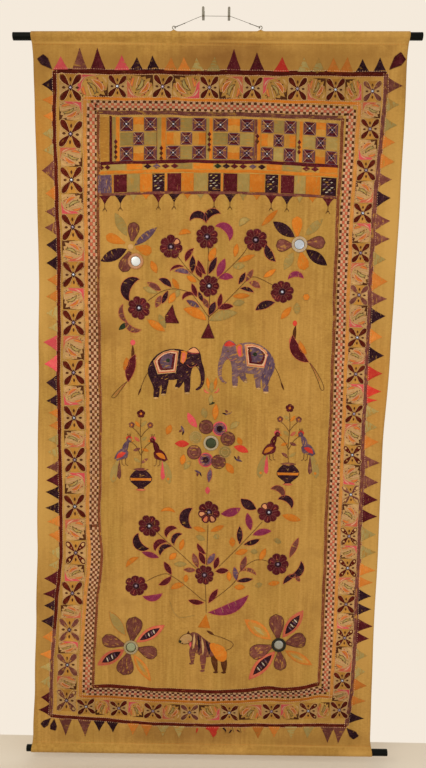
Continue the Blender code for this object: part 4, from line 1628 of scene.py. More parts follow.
@dataclass
class Border:
    """The bands, checks, four-petal flowers, leaf cells and triangles that frame the cloth."""

    dots: list[tuple[float, float, float]] = field(default_factory=list)
    band_lines: dict[str, dict[Side, np.ndarray]] = field(default_factory=dict)
    line_step: float = 9.0 * MM
    stray: float = 0.9 * MM

    def build(self) -> None:
        """Sews the whole border."""
        self.bands()
        self.checks()
        self.flowers()
        self.cells()
        self.triangles()
        self.stitches()

    def bands(self) -> None:
        """The outer maroon band, the orange line and the inner purple band."""
        for name, band in BANDS.items():
            shares = {side: BORDER_SIDES[side].orange if band.share is None else band.share for side in Side}
            self.band_lines[name] = {
                side: wavering(border_line(side, shares, self.line_step), self.stray, band.way_seed + n)
                for n, side in enumerate(SIDE_ORDER)}
        shells: dict[Dye, Shell] = {}
        for n, side in enumerate(SIDE_ORDER):
            for name, band in BANDS.items():
                strip, line = band.sides[side], self.band_lines[name][side]
                shell = shells.setdefault(strip.dye, Shell())
                if name == "outer" and side is Side.LEFT:
                    foot = int(0.15 * len(line))
                    sew_strip(shells[Dye.MAUVE], line[:foot + 1], strip.half, band.lift, 0.0, band.width_seed)
                    line = line[foot:]
                sew_strip(shell, line, strip.half, band.lift, strip.tone, band.width_seed + n)
        lay_shells("border_bands", shells)

    def check_runs(self, side: Side, tall: float) -> list[tuple[np.ndarray, Dye, float]]:
        """A side's line of checks in stretches: the line, the dye of its middle rows and the pitch.

        Args:
            side: The side.
            tall: The side's usual pitch.
        Returns:
            The stretches.
        """
        line = border_line(side, {each: BORDER_SIDES[each].checks for each in Side}, 20.0 * MM)
        if side is not Side.LEFT:
            return [(line, Dye.MAROON if side is Side.BOTTOM else Dye.SALMON, tall)]
        foot, low, high = (int(share * len(line)) for share in (0.07, 0.3, 0.76))
        return [(line[:foot + 1], Dye.SALMON, 0.9 * tall), (line[foot:low + 1], Dye.RUSSET, 0.88 * tall),
                (line[low:high + 1], Dye.RUSSET, tall), (line[high:], Dye.SALMON, 1.05 * tall)]

    def checks(self) -> None:
        """Four rows of small squares: dark ones outside, salmon ones between, pale ones in the gaps."""
        rows = ((1.5, 0, Dye.BARK), (0.5, 1, Dye.SALMON), (-0.5, 0, Dye.SALMON), (-1.5, 1, Dye.BARK),
                (1.5, 1, Dye.BLUSH), (0.5, 0, Dye.BLUSH), (-0.5, 1, Dye.BLUSH), (-1.5, 0, Dye.BLUSH))
        found: dict[Dye, list[bpy.types.Object]] = {}
        for n, side in enumerate(SIDE_ORDER):
            wide = BORDER_SIDES[side].check_pitch * MM
            runs = self.check_runs(side, wide * BORDER_SIDES[side].check_stretch)
            for (offset, first, given), (line, middle, tall) in [(row, run) for row in rows for run in runs]:
                dye = middle if given is Dye.SALMON and (side is not Side.BOTTOM or offset < 0.0) else given
                square = Patchwork("check", 1)
                small = 0.5 if dye is Dye.BARK else 0.48
                square.turn_in = 0.4 * MM
                lift = 0.5 * MM if dye is Dye.BLUSH else 0.8 * MM
                corner = np.array((small * tall, small * wide))
                square.sew(dye, box_points(-corner, corner), lift=lift)
                name = f"border_checks_{len(found.get(dye, ()))}_{side.value}_{dye.name.lower()}"
                found.setdefault(dye, []).append(ROWS.run(
                    lines_object(name, [(line, False)]), name, DyedCotton(dye), {
                        "Copy": square.template(dye), "Pitch": tall, "Offset": offset * wide, "Every": 2,
                        "First": first, "Turn unevenness": 0.09, "Size unevenness": 0.1, "Seed": 10 + n}))
        for dye, parts in found.items():
            finish_piece(SHAPE.lay(joined(parts, "border_checks_" + dye.name.lower())))

    def flower_points(self) -> list[tuple[Side, PointRow]]:
        """Each four-petal flower's side and where it goes; its size is a share of UNIT.

        Returns:
            The flowers in order.
        """
        chance = random.Random(4)
        found = []
        for side in SIDE_ORDER:
            looks = BORDER_SIDES[side]
            wide, tall = looks.flower
            for place in looks.places:
                along = place * MM
                across = float(border_at(side, along, looks.petals))
                x, z = (across, along) if side in UPRIGHTS else (along, across)
                size = (wide * MM / (UNIT * MM), tall * MM / (UNIT * MM))
                found.append((side, (x, z, chance.uniform(-0.06, 0.06), *size)))
        return found

    def flowers(self) -> None:
        """A cross of four petals on a ground of four quarters, with seeds between and a mirror dot."""
        chance = random.Random(5)
        rows = self.flower_points()
        flower, worn = Patchwork("four_petals", 3), Patchwork("worn_petals", 6)
        flower.outline_step = 5.0 * MM
        half = UNIT * MM
        for n in range(4):
            angle = 0.25 * math.pi + n * 0.5 * math.pi
            tip = 1.28 * half * np.array([math.cos(angle), math.sin(angle)])
            red = petal(0.12 * tip, 1.03 * tip, 0.47 * half, foot=0.26, steps=7)
            flower.sew(Dye.MAROON, red, run=angle, level=1)
            edge = petal(0.14 * tip, 1.07 * tip, 0.56 * half, foot=0.26, steps=7)
            flower.couch(Dye.ECRU, edge, True, 1.3 * MM)
            bare = petal(0.42 * tip, 0.93 * tip, 0.27 * half, foot=0.3, steps=6)
            worn.sew(Dye.ECRU, bare, run=angle, level=2, lift=0.3 * MM)
            way = n * 0.5 * math.pi
            seed = turned(leaf((0.42 * half, 0.0), (0.76 * half, 0.0), 0.2 * half, 0.0, 5), way)
            flower.sew(Dye.BARK, seed, level=1, lift=0.6 * MM)
            corners = [(0.1 * half, 0.0), (0.98 * half, -0.84 * half), (0.98 * half, 0.84 * half)]
            quarter = turned(corners, way)
            flower.sew(Dye.OCHRE if n % 2 else Dye.ECRU, quarter, run=way, lift=0.35 * MM)
        flower.sew(Dye.NAVY, disc((0.0, 0.0), 0.21 * half, 12), level=1.6, lift=0.5 * MM)
        groups: dict[Dye, list[PointRow]] = {Dye.OXBLOOD: [], Dye.MAUVE: []}
        for side, point in rows:
            share = {Side.RIGHT: 0.14, Side.LEFT: 1.0 if point[1] < -1.75 else 0.03}.get(side, 0.02)
            groups[Dye.MAUVE if chance.random() < share else Dye.OXBLOOD].append(point)
        everywhere = groups[Dye.OXBLOOD] + groups[Dye.MAUVE]
        for dye, points in groups.items():
            name = "border_petals_" + dye.name.lower()
            copy_to_points(flower.template(Dye.MAROON), name, points, DyedCotton(dye), 21)
        for dye in (Dye.BARK, Dye.OCHRE, Dye.ECRU, Dye.NAVY):
            name = "border_flower_" + dye.name.lower()
            copy_to_points(flower.template(dye), name, everywhere, DyedCotton(dye), 23)
        old = [point for side, point in rows
               if side is not Side.TOP and point[1] < -1.2
               and chance.random() < (0.65 if side is Side.RIGHT else 0.3)]
        copy_to_points(worn.template(Dye.ECRU), "border_petals_worn", old, DyedCotton(Dye.ECRU), 25)
        edges = flower.thread_template(Dye.ECRU, 1.1 * MM)
        copy_to_points(edges, "border_petal_edges", everywhere, TwistedThread(Dye.ECRU), 23)
        self.dots += [(x / MM, z / MM, 0.8) for x, z, _, _, _ in everywhere]

    def cells(self) -> None:
        """Between the flowers: a bent leaf in two colours, with a pink and a dark corner piece."""
        least_room, ground_half = 18.0, 28.5 * MM
        chance = random.Random(8)
        spots: dict[str, list[PointRow]] = {"a": [], "b": []}
        grounds: list[PointRow] = []
        ends = {Side.TOP: (-420.0, 444.0), Side.BOTTOM: (-452.0, 419.0)}
        count = 0
        for side in SIDE_ORDER:
            looks = BORDER_SIDES[side]
            upright = side in UPRIGHTS
            places = list(looks.places) if upright else [ends[side][0], *looks.places, ends[side][1]]
            across_size, half_run = looks.flower if upright else looks.flower[::-1]
            for start, end in zip(places, places[1:]):
                free = abs(end - start) - 2.0 * half_run
                if free < least_room:
                    continue
                along = 0.5 * (start + end) * MM
                across = float(border_at(side, along, looks.petals))
                x, z = (across, along) if upright else (along, across)
                turn = (0.0 if upright else -0.5 * math.pi) + math.pi * (count % 4 >= 2)
                spot = (x, z, turn + chance.uniform(-0.04, 0.04), across_size / UNIT, 0.5 * free / UNIT)
                spots["ab"[count % 2]].append(spot)
                if upright:
                    grounds.append(spot)
                count += 1
        under = Patchwork("cell_ground", 4)
        square = box_points((-ground_half, -ground_half), (ground_half, ground_half))
        under.sew(Dye.ECRU, square, run=0.4, lift=0.3 * MM)
        ground = under.template(Dye.ECRU)
        copy_to_points(ground, "border_cell_grounds", grounds, DyedCotton(Dye.ECRU), 31, 0.03)
        for kind, points in spots.items():
            cell = self.cell_unit(1.0 if kind == "a" else -1.0)
            for dye in cell.shells:
                name = f"border_cells_{kind}_{dye.name.lower()}"
                copy_to_points(cell.template(dye), name, points, DyedCotton(dye), 31, 0.03)
            for dye in cell.threads:
                name = f"border_cell_threads_{kind}_{dye.name.lower()}"
                thread = cell.thread_template(dye, 0.8 * MM)
                copy_to_points(thread, name, points, TwistedThread(dye), 31, 0.03)

    def cell_unit(self, hand: float) -> Patchwork:
        """The pieces and threads of one cell, 60 mm square, or of its mirror image.

        Args:
            hand: 1, or -1 for the mirror image.
        Returns:
            The patchwork.
        """
        cell = Patchwork("leaf_cell", 4)
        cell.outline_step = 6.0 * MM
        size = UNIT * MM
        flip = np.array([hand, 1.0]) * size
        corner = [(-0.98, 0.44), (-0.86, -0.10), (-0.74, -0.42), (-0.30, -0.66), (0.30, -0.72), (0.62, -0.97),
                  (-0.97, -0.97)]
        streak = Dye.PINK if hand > 0.0 else Dye.SALMON
        cell.sew(streak, np.array(corner) * flip, run=0.7, lift=0.7 * MM, thread=Dye.ECRU)
        rib = leaf((-0.84, -0.40), (-0.10, -0.86), 0.12, -0.1, 6)
        cell.sew(Dye.BLUSH, rib * flip, run=0.7, level=1, lift=0.4 * MM)
        thorn = [(-0.22, 0.97), (0.98, 0.97), (0.98, -0.42), (0.91, 0.1), (0.78, 0.04), (0.86, 0.42),
                 (0.62, 0.46), (0.74, 0.80), (0.34, 0.70), (0.30, 0.88)]
        cell.sew(Dye.BARK, np.array(thorn) * flip, run=0.7, lift=0.8 * MM)
        cell.sew(Dye.AMBER, leaf((-0.56, -0.06), (0.44, 0.62), 0.34, 0.16, 7) * flip, run=0.6,
                 thread=Dye.BLUSH)
        cell.sew(Dye.SALMON, leaf((-0.34, 0.10), (0.24, 0.50), 0.13, 0.16, 5) * flip, level=1, lift=0.7 * MM)
        cell.sew(Dye.SAGE, leaf((-0.30, -0.34), (0.72, 0.14), 0.27, 0.2, 7) * flip, run=0.4, thread=Dye.BARK)
        cell.sew(Dye.AMBER, leaf((0.02, -0.56), (0.78, -0.40), 0.20, -0.15, 6) * flip, run=0.2,
                 thread=Dye.SALMON)
        cell.sew(Dye.ECRU, leaf((-0.84, 0.56), (-0.30, 0.84), 0.20, 0.15, 6) * flip, run=0.2, lift=0.7 * MM)
        for seed in ((0.66, -0.72), (-0.70, 0.30), (0.10, -0.10), (-0.36, 0.60), (0.50, 0.34),
                     (-0.50, -0.34)):
            cell.sew(Dye.BARK, disc(np.array(seed) * flip, 0.055 * size, 6), level=1, lift=0.5 * MM)
        swirls = (
            (Dye.SALMON, [(-0.80, 0.06), (-0.52, 0.40), (-0.10, 0.66), (0.16, 0.86)]),
            (Dye.BLUSH, [(-0.10, -0.30), (0.30, -0.22), (0.84, -0.06)]),
            (Dye.OLIVE, [(-0.66, -0.20), (-0.20, 0.02), (0.30, 0.26), (0.58, 0.30)]),
            (Dye.BARK, [(0.24, -0.72), (0.60, -0.58), (0.90, -0.62)]),
        )
        for dye, line in swirls:
            cell.couch(dye, rounded(np.array(line) * flip, False, 3))
        return cell

    def triangles(self) -> None:
        """Pointed flags that stand outwards on the outer band, in pairs of a colour."""
        letters = {"N": Dye.NAVY, "O": Dye.AMBER, "P": Dye.SAGE, "M": Dye.MAROON, "K": Dye.PINK, "R": Dye.RED,
                   "V": Dye.MAUVE}
        top_x = (-439, -385, -333, -265, -224, -176, -127, -88, -51, -5, 52, 118, 187, 252, 292, 335, 371,
                 417, 466)
        top = "KVMKNNOOPPMMRPPOONN"
        bottom_x = (-446, -385, -338, -296, -230, -188, -136, -85, 22, 165, 217, 270, 324, 386, 424)
        bottom = "VVNNOOPPROOPPVV"
        work = Patchwork("border_flags", 11)
        chance = random.Random(12)
        for side, rows, hand in ((Side.LEFT, LEFT_FLAGS, -1.0), (Side.RIGHT, RIGHT_FLAGS, 1.0)):
            for letter, place, half, reach in rows:
                z, wide = place * MM, half * MM
                x = float(border_at(side, z, 0.0)) + hand * 3.0 * MM
                tip = (x + hand * reach * MM, z + chance.uniform(-3.0, 3.0) * MM)
                self.flag(work, letters[letter], [(x, z + wide), tip, (x, z - wide)])
        for side, names, places, hand in ((Side.TOP, top, top_x, 1.0), (Side.BOTTOM, bottom, bottom_x, -1.0)):
            for letter, place in zip(names, places):
                x = place * MM
                z = float(border_at(side, x, 0.0)) + hand * 3.0 * MM
                out = (57.0 if letter in "MV" else 39.0) * chance.uniform(0.92, 1.08) * MM
                wide = (23.0 if letter in "MVKR" else 20.5) * MM
                points = [(x - wide, z), (x + chance.uniform(-3.0, 3.0) * MM, z + hand * out), (x + wide, z)]
                self.flag(work, letters[letter], points)
        kites = ((-483.0, -128.0, 2.36, Dye.NAVY, 1.0), (513.0, -116.0, 0.79, Dye.MAROON, 1.15),
                 (-508.0, -2122.0, 3.93, Dye.NAVY, 0.8), (-484.0, -2130.0, 4.6, Dye.NAVY, 0.8),
                 (464.0, -2138.0, 5.5, Dye.NAVY, 0.95))
        for x, z, way, dye, size in kites:
            kite = turned([(-26.0, 0.0), (2.0, -13.0), (19.0, -11.0), (22.0, 10.0), (4.0, 13.0)], way)
            work.sew(dye, (kite * size + (x, z)) * MM, run=way + 0.5 * math.pi, thread=Dye.BARK)
        self.torn_flags(work)
        work.finish()

    def flag(self, work: Patchwork, dye: Dye, points: list[tuple[float, float]]) -> None:
        """One flag, its two free sides bowed in a little.

        Args:
            work: The patchwork that it joins.
            dye: Its dye.
            points: One foot, the tip and the other foot.
        """
        start, tip, end = (np.array(point) for point in points)
        middle = 0.5 * (start + end)
        near = mix(0.5 * (start + tip), middle, 0.06)
        away = mix(0.5 * (end + tip), middle, 0.06)
        run = math.atan2(*(end - start)[::-1])
        work.sew(dye, np.array([start, near, tip, away, end]), run=run)

    def torn_flags(self, work: Patchwork) -> None:
        """What is left of the worn flags at the middle of the bottom: scraps and loose ends.

        Args:
            work: The patchwork that they join.
        """
        scraps = ((-28.0, -2138.0, 7.0, 17.0, -0.3, Dye.RED), (8.0, -2134.0, 9.0, 16.0, 0.9, Dye.RED),
                  (30.0, -2150.0, 8.0, 18.0, -0.5, Dye.RED), (60.0, -2134.0, 7.0, 15.0, 0.6, Dye.NAVY),
                  (78.0, -2140.0, 6.0, 14.0, -0.7, Dye.NAVY), (104.0, -2138.0, 6.0, 12.0, 0.8, Dye.BARK))
        for x, z, wide, tall, way, dye in scraps:
            shape = turned([(-0.5 * wide, 0.5 * tall), (-0.2 * wide, -0.3 * tall), (0.1 * wide, -0.6 * tall),
                            (0.5 * wide, -0.1 * tall), (0.3 * wide, 0.5 * tall)], way)
            work.sew(dye, (shape + (x, z)) * MM, run=way, lift=1.4 * MM)
        chance = random.Random(14)
        for n in range(7):
            x = 44.0 + 13.0 * n + chance.uniform(-3.0, 3.0)
            drop = chance.uniform(9.0, 20.0)
            end = [(x, -2125.0), (x + 2.0, -2125.0 - 0.5 * drop), (x + 5.0, -2125.0 - drop)]
            work.couch(Dye.BARK if n % 2 else Dye.SALMON, rounded(np.array(end) * MM, False, 3))

    def stitches(self) -> None:
        """Running stitches on both edges of each band."""
        lines: dict[Dye, list[Line]] = {Dye.ECRU: [], Dye.BLUSH: []}
        for side in SIDE_ORDER:
            for name, band in BANDS.items():
                line = self.band_lines[name][side]
                aside = unit(left_of(np.gradient(line, axis=0)))
                for hand in (-1.0, 1.0):
                    far = hand * (band.sides[side].half * MM + 0.5 * MM)
                    lines[band.stitches].append((line + aside * far, False))
        for dye, drawn in lines.items():
            running_stitch("border_stitches_" + dye.name.lower(), drawn, 6.6, dye, 5.2, 0.75)


def joined(parts: list[bpy.types.Object], name: str) -> bpy.types.Object:
    """Joins mesh objects into one.

    Args:
        parts: The objects, which become one.
        name: The new object's name.
    Returns:
        The object.
    """
    first = parts[0]
    with bpy.context.temp_override(active_object=first, selected_editable_objects=parts, object=first):
        bpy.ops.object.join()
    first.name = name
    first.data.name = name
    return first


def stitch_template(length: float, radius: float) -> bpy.types.Object:
    """One stitch: a short thread that dips into the cloth at both ends, of a few dozen faces.

    Args:
        length: The stitch's length.
        radius: The thread's radius.
    Returns:
        The object.
    """
    rings, sides = 5, 5
    places = []
    for t in np.linspace(0.0, 1.0, rings).tolist():
        rise = radius * (0.2 + 1.1 * math.sin(math.pi * t))
        thick = radius * (0.55 + 0.45 * math.sin(math.pi * t))
        places += [((t - 0.5) * length, -rise - thick * math.sin(angle), thick * math.cos(angle))
                   for angle in circle(sides).tolist()]
    faces = grid_faces(rings, sides)
    faces += [tuple(range(sides))[::-1], tuple(range((rings - 1) * sides, rings * sides))]
    mesh = bpy.data.meshes.new("stitch")
    mesh.from_pydata(places, [], faces)
    obj = link("stitch_template", mesh)
    outward_normals(obj)
    return obj


def outward_normals(obj: bpy.types.Object) -> None:
    """Turns a closed mesh's faces outwards.

    Args:
        obj: The object.
    """
    bm = bmesh.new()
    bm.from_mesh(obj.data)
    bmesh.ops.recalc_face_normals(bm, faces=bm.faces)
    bm.to_mesh(obj.data)
    bm.free()


def running_stitch(name: str, lines: list[Line], pitch: float, dye: Dye, length: float,
                   radius: float) -> None:
    """A row of running stitches along lines on the cloth.

    Args:
        name: The piece's name.
        lines: The lines.
        pitch: From one stitch to the next, in mm.
        dye: The thread's dye.
        length: Each stitch's length, in mm.
        radius: The thread's radius, in mm.
    """
    piece = ROWS.run(lines_object(name, lines, 0.1 * MM), name, TwistedThread(dye), {
        "Copy": stitch_template(length * MM, radius * MM), "Pitch": pitch * MM, "Turn unevenness": 0.12,
        "Size unevenness": 0.15, "Seed": 3})
    finish_piece(SHAPE.lay(piece))


# The field


LeafRow = tuple[Dye, float, float, float, float, float, float]

LEAF_EDGES = {Dye.MAROON: Dye.SALMON, Dye.NAVY: Dye.SALMON, Dye.MAUVE: Dye.SALMON, Dye.MAGENTA: Dye.SALMON,
              Dye.LAVENDER: Dye.SALMON, Dye.ORANGE: Dye.ORANGE, Dye.OLIVE: Dye.OLIVE}


def sew_leaves(work: Patchwork, rows: Iterable[LeafRow], thread: Dye | None = None, level: int = 0) -> None:
    """Sews leaves given as dye, foot X and Z, tip X and Z, width, in mm, and bow as a share of the length.

    Args:
        work: The patchwork that they join.
        rows: The leaves.
        thread: The dye of the thread round them, if there is one.
        level: What they lie on, as for any patch.
    """
    for dye, x, z, tip_x, tip_z, width, bend in rows:
        start, tip = (x * MM, z * MM), (tip_x * MM, tip_z * MM)
        run = math.atan2(tip_z - z, tip_x - x)
        if abs(bend) > 0.24:
            outline = crescent(start, tip, width * 1.25 * MM, bend)
        else:
            outline = leaf(start, tip, width * 1.06 * MM, bend)
        edge = thread or LEAF_EDGES.get(dye)
        work.sew(dye, outline, run=run + 0.5 * math.pi, thread=edge, level=level)


UPPER_LEAVES = (
    (Dye.NAVY, -20, -568, -68, -562, 17, -0.62), (Dye.NAVY, -20, -568, 22, -540, 20, 0.54),
    (Dye.MAGENTA, 6, -576, 48, -617, 19, 0.52), (Dye.ORANGE, -99, -602, -64, -596, 14, 0.2),
    (Dye.MAROON, -79, -678, -55, -639, 15, 0.1), (Dye.NAVY, -59, -711, -58, -659, 17, 0),
    (Dye.MAROON, -83, -693, -125, -706, 17, -0.25), (Dye.LAVENDER, -64, -714, -112, -706, 14, -0.12),
    (Dye.ORANGE, -75, -719, -46, -736, 14, 0), (Dye.MAROON, -32, -723, -48, -689, 17, 0),
    (Dye.MAROON, -19, -713, -42, -672, 16, 0.1), (Dye.NAVY, -11, -713, 12, -663, 17, 0),
    (Dye.MAGENTA, 15, -721, 36, -667, 22, 0), (Dye.MAGENTA, 19, -724, 62, -722, 19, 0.1),
    (Dye.MAROON, -45, -780, -60, -740, 14, 0), (Dye.MAROON, -52, -774, -87, -789, 13, -0.42),
    (Dye.LAVENDER, -36, -809, -76, -789, 16, 0), (Dye.NAVY, -27, -794, -40, -763, 12, 0),
    (Dye.MAUVE, -11, -811, -25, -782, 14, 0), (Dye.NAVY, -8, -832, 10, -792, 19, 0),
    (Dye.MAROON, 20, -812, 27, -768, 14, 0), (Dye.MAROON, 16, -812, 64, -805, 17, 0.05),
    (Dye.NAVY, -120, -753, -158, -729, 17, -0.12), (Dye.MAUVE, -150, -762, -191, -739, 17, 0),
    (Dye.OLIVE, -162, -769, -203, -754, 15, 0), (Dye.NAVY, -130, -762, -147, -801, 14, 0),
    (Dye.MAUVE, -150, -776, -165, -812, 17, 0), (Dye.ORANGE, -107, -767, -127, -799, 17, 0),
    (Dye.ORANGE, -117, -727, -98, -758, 14, 0), (Dye.NAVY, -243, -795, -213, -730, 25, 0.54),
    (Dye.MAUVE, -262, -803, -248, -857, 17, -0.33), (Dye.MAUVE, -254, -850, -207, -877, 17, -0.38),
    (Dye.BOTTLE, -248, -857, -275, -879, 14, 0), (Dye.ORANGE, -190, -848, -138, -881, 20, 0),
    (Dye.ORANGE, -16, -847, -84, -815, 26, -0.08), (Dye.OLIVE, -6, -848, 75, -824, 26, 0.06),
    (Dye.ORANGE, -10, -676, 8, -636, 19, 0), (Dye.OLIVE, -136, -871, -156, -832, 17, 0),
    (Dye.OLIVE, -106, -781, -98, -758, 14, 0), (Dye.ORANGE, -180, -677, -163, -712, 17, 0),
    (Dye.NAVY, 155, -623, 185, -674, 22, -0.12), (Dye.ORANGE, 141, -573, 187, -527, 14, 0),
    (Dye.ORANGE, 75, -675, 123, -656, 14, 0), (Dye.ORANGE, 150, -720, 186, -696, 14, 0),
    (Dye.ORANGE, 61, -776, 111, -773, 14, 0), (Dye.ORANGE, 204, -840, 234, -804, 17, 0),
    (Dye.OLIVE, 60, -690, 95, -687, 17, 0), (Dye.OLIVE, 77, -575, 106, -556, 17, 0.2),
    (Dye.NAVY, 78, -741, 97, -706, 14, 0), (Dye.MAUVE, 99, -733, 119, -697, 14, 0),
    (Dye.MAUVE, 108, -735, 141, -751, 17, 0.1), (Dye.NAVY, 82, -753, 123, -764, 12, 0.1),
    (Dye.MAGENTA, 222, -725, 268, -722, 15, 0.46), (Dye.NAVY, 186, -792, 128, -816, 22, -0.08),
    (Dye.MAROON, 188, -782, 175, -770, 8, 0), (Dye.ORANGE, 65, -662, 71, -624, 14, 0),
    (Dye.OLIVE, 62, -798, 96, -792, 17, 0), (Dye.OLIVE, 250, -792, 251, -826, 17, 0),
)


LOWER_LEAVES = (
    (Dye.NAVY, -215, -1496, -181, -1545, 24, -0.55), (Dye.MAROON, -129, -1510, -96, -1481, 19, 0.5),
    (Dye.NAVY, -105, -1535, -80, -1498, 20, 0.46), (Dye.MAROON, -163, -1554, -127, -1525, 19, 0.5),
    (Dye.NAVY, -148, -1568, -112, -1538, 22, 0.46), (Dye.MAGENTA, -205, -1557, -151, -1574, 17, 0),
    (Dye.ORANGE, -120, -1579, -98, -1559, 17, 0), (Dye.ORANGE, -253, -1606, -214, -1574, 14, 0.12),
    (Dye.ORANGE, -87, -1550, -77, -1514, 14, 0), (Dye.MAROON, -113, -1628, -136, -1586, 17, 0),
    (Dye.MAROON, -113, -1632, -153, -1661, 17, 0.1), (Dye.ORANGE, -114, -1674, -73, -1660, 17, 0.1),
    (Dye.ORANGE, -69, -1652, -67, -1627, 14, 0), (Dye.MAGENTA, -202, -1698, -140, -1687, 20, -0.18),
    (Dye.MAUVE, -31, -1605, -47, -1558, 17, 0), (Dye.MAUVE, -37, -1613, -76, -1612, 14, 0),
    (Dye.MAROON, -10, -1594, -28, -1553, 17, 0), (Dye.MAROON, -7, -1561, -34, -1526, 14, 0.1),
    (Dye.LAVENDER, -3, -1594, 21, -1556, 17, 0), (Dye.MAROON, 20, -1607, 31, -1568, 16, 0),
    (Dye.MAROON, 23, -1614, 64, -1610, 17, 0), (Dye.MAROON, -11, -1716, -61, -1709, 16, 0.05),
    (Dye.MAROON, 3, -1717, 31, -1670, 17, 0), (Dye.MAGENTA, 2, -1747, 127, -1688, 32, -0.12),
    (Dye.NAVY, -51, -1480, -49, -1416, 29, 0.58), (Dye.MAGENTA, 36, -1432, 97, -1412, 25, -0.08),
    (Dye.ORANGE, -47, -1476, -9, -1488, 14, 0), (Dye.ORANGE, 6, -1488, 47, -1469, 14, 0),
    (Dye.ORANGE, -147, -1428, -103, -1431, 17, 0.3), (Dye.ORANGE, 71, -1505, 74, -1535, 14, 0),
    (Dye.OLIVE, -38, -1504, -11, -1515, 15, 0), (Dye.OLIVE, -105, -1594, -66, -1594, 15, 0),
    (Dye.OLIVE, 15, -1506, 33, -1502, 14, 0), (Dye.NAVY, 145, -1415, 96, -1383, 28, 0.05),
    (Dye.MAUVE, 186, -1352, 225, -1380, 19, 0.5), (Dye.NAVY, 209, -1384, 252, -1412, 21, 0.5),
    (Dye.ORANGE, 224, -1433, 281, -1448, 20, 0), (Dye.MAGENTA, 129, -1482, 117, -1427, 20, 0),
    (Dye.MAGENTA, 135, -1497, 193, -1483, 20, 0.06), (Dye.NAVY, 96, -1527, 95, -1469, 17, 0),
    (Dye.NAVY, 108, -1527, 159, -1508, 16, -0.05), (Dye.ORANGE, 83, -1557, 121, -1545, 17, 0),
    (Dye.MAUVE, 101, -1614, 116, -1564, 17, 0), (Dye.MAUVE, 105, -1610, 149, -1624, 12, 0.2),
    (Dye.LAVENDER, 89, -1643, 81, -1598, 16, 0), (Dye.NAVY, 89, -1645, 140, -1636, 14, 0),
    (Dye.ORANGE, 159, -1577, 176, -1538, 16, 0), (Dye.MAUVE, 250, -1567, 276, -1502, 17, 0),
    (Dye.NAVY, 248, -1625, 285, -1576, 21, -0.44), (Dye.NAVY, 233, -1651, 272, -1619, 16, 0.1),
    (Dye.MAUVE, 271, -1624, 284, -1642, 12, 0), (Dye.ORANGE, 186, -1652, 222, -1646, 14, 0),
    (Dye.ORANGE, 82, -1664, 115, -1663, 16, 0), (Dye.ORANGE, 67, -1645, 64, -1614, 14, 0),
    (Dye.ORANGE, 74, -1535, 72, -1505, 17, 0), (Dye.OLIVE, 130, -1549, 152, -1549, 14, 0),
    (Dye.OLIVE, 200, -1508, 223, -1520, 14, 0), (Dye.OLIVE, 147, -1660, 168, -1651, 14, 0),
)


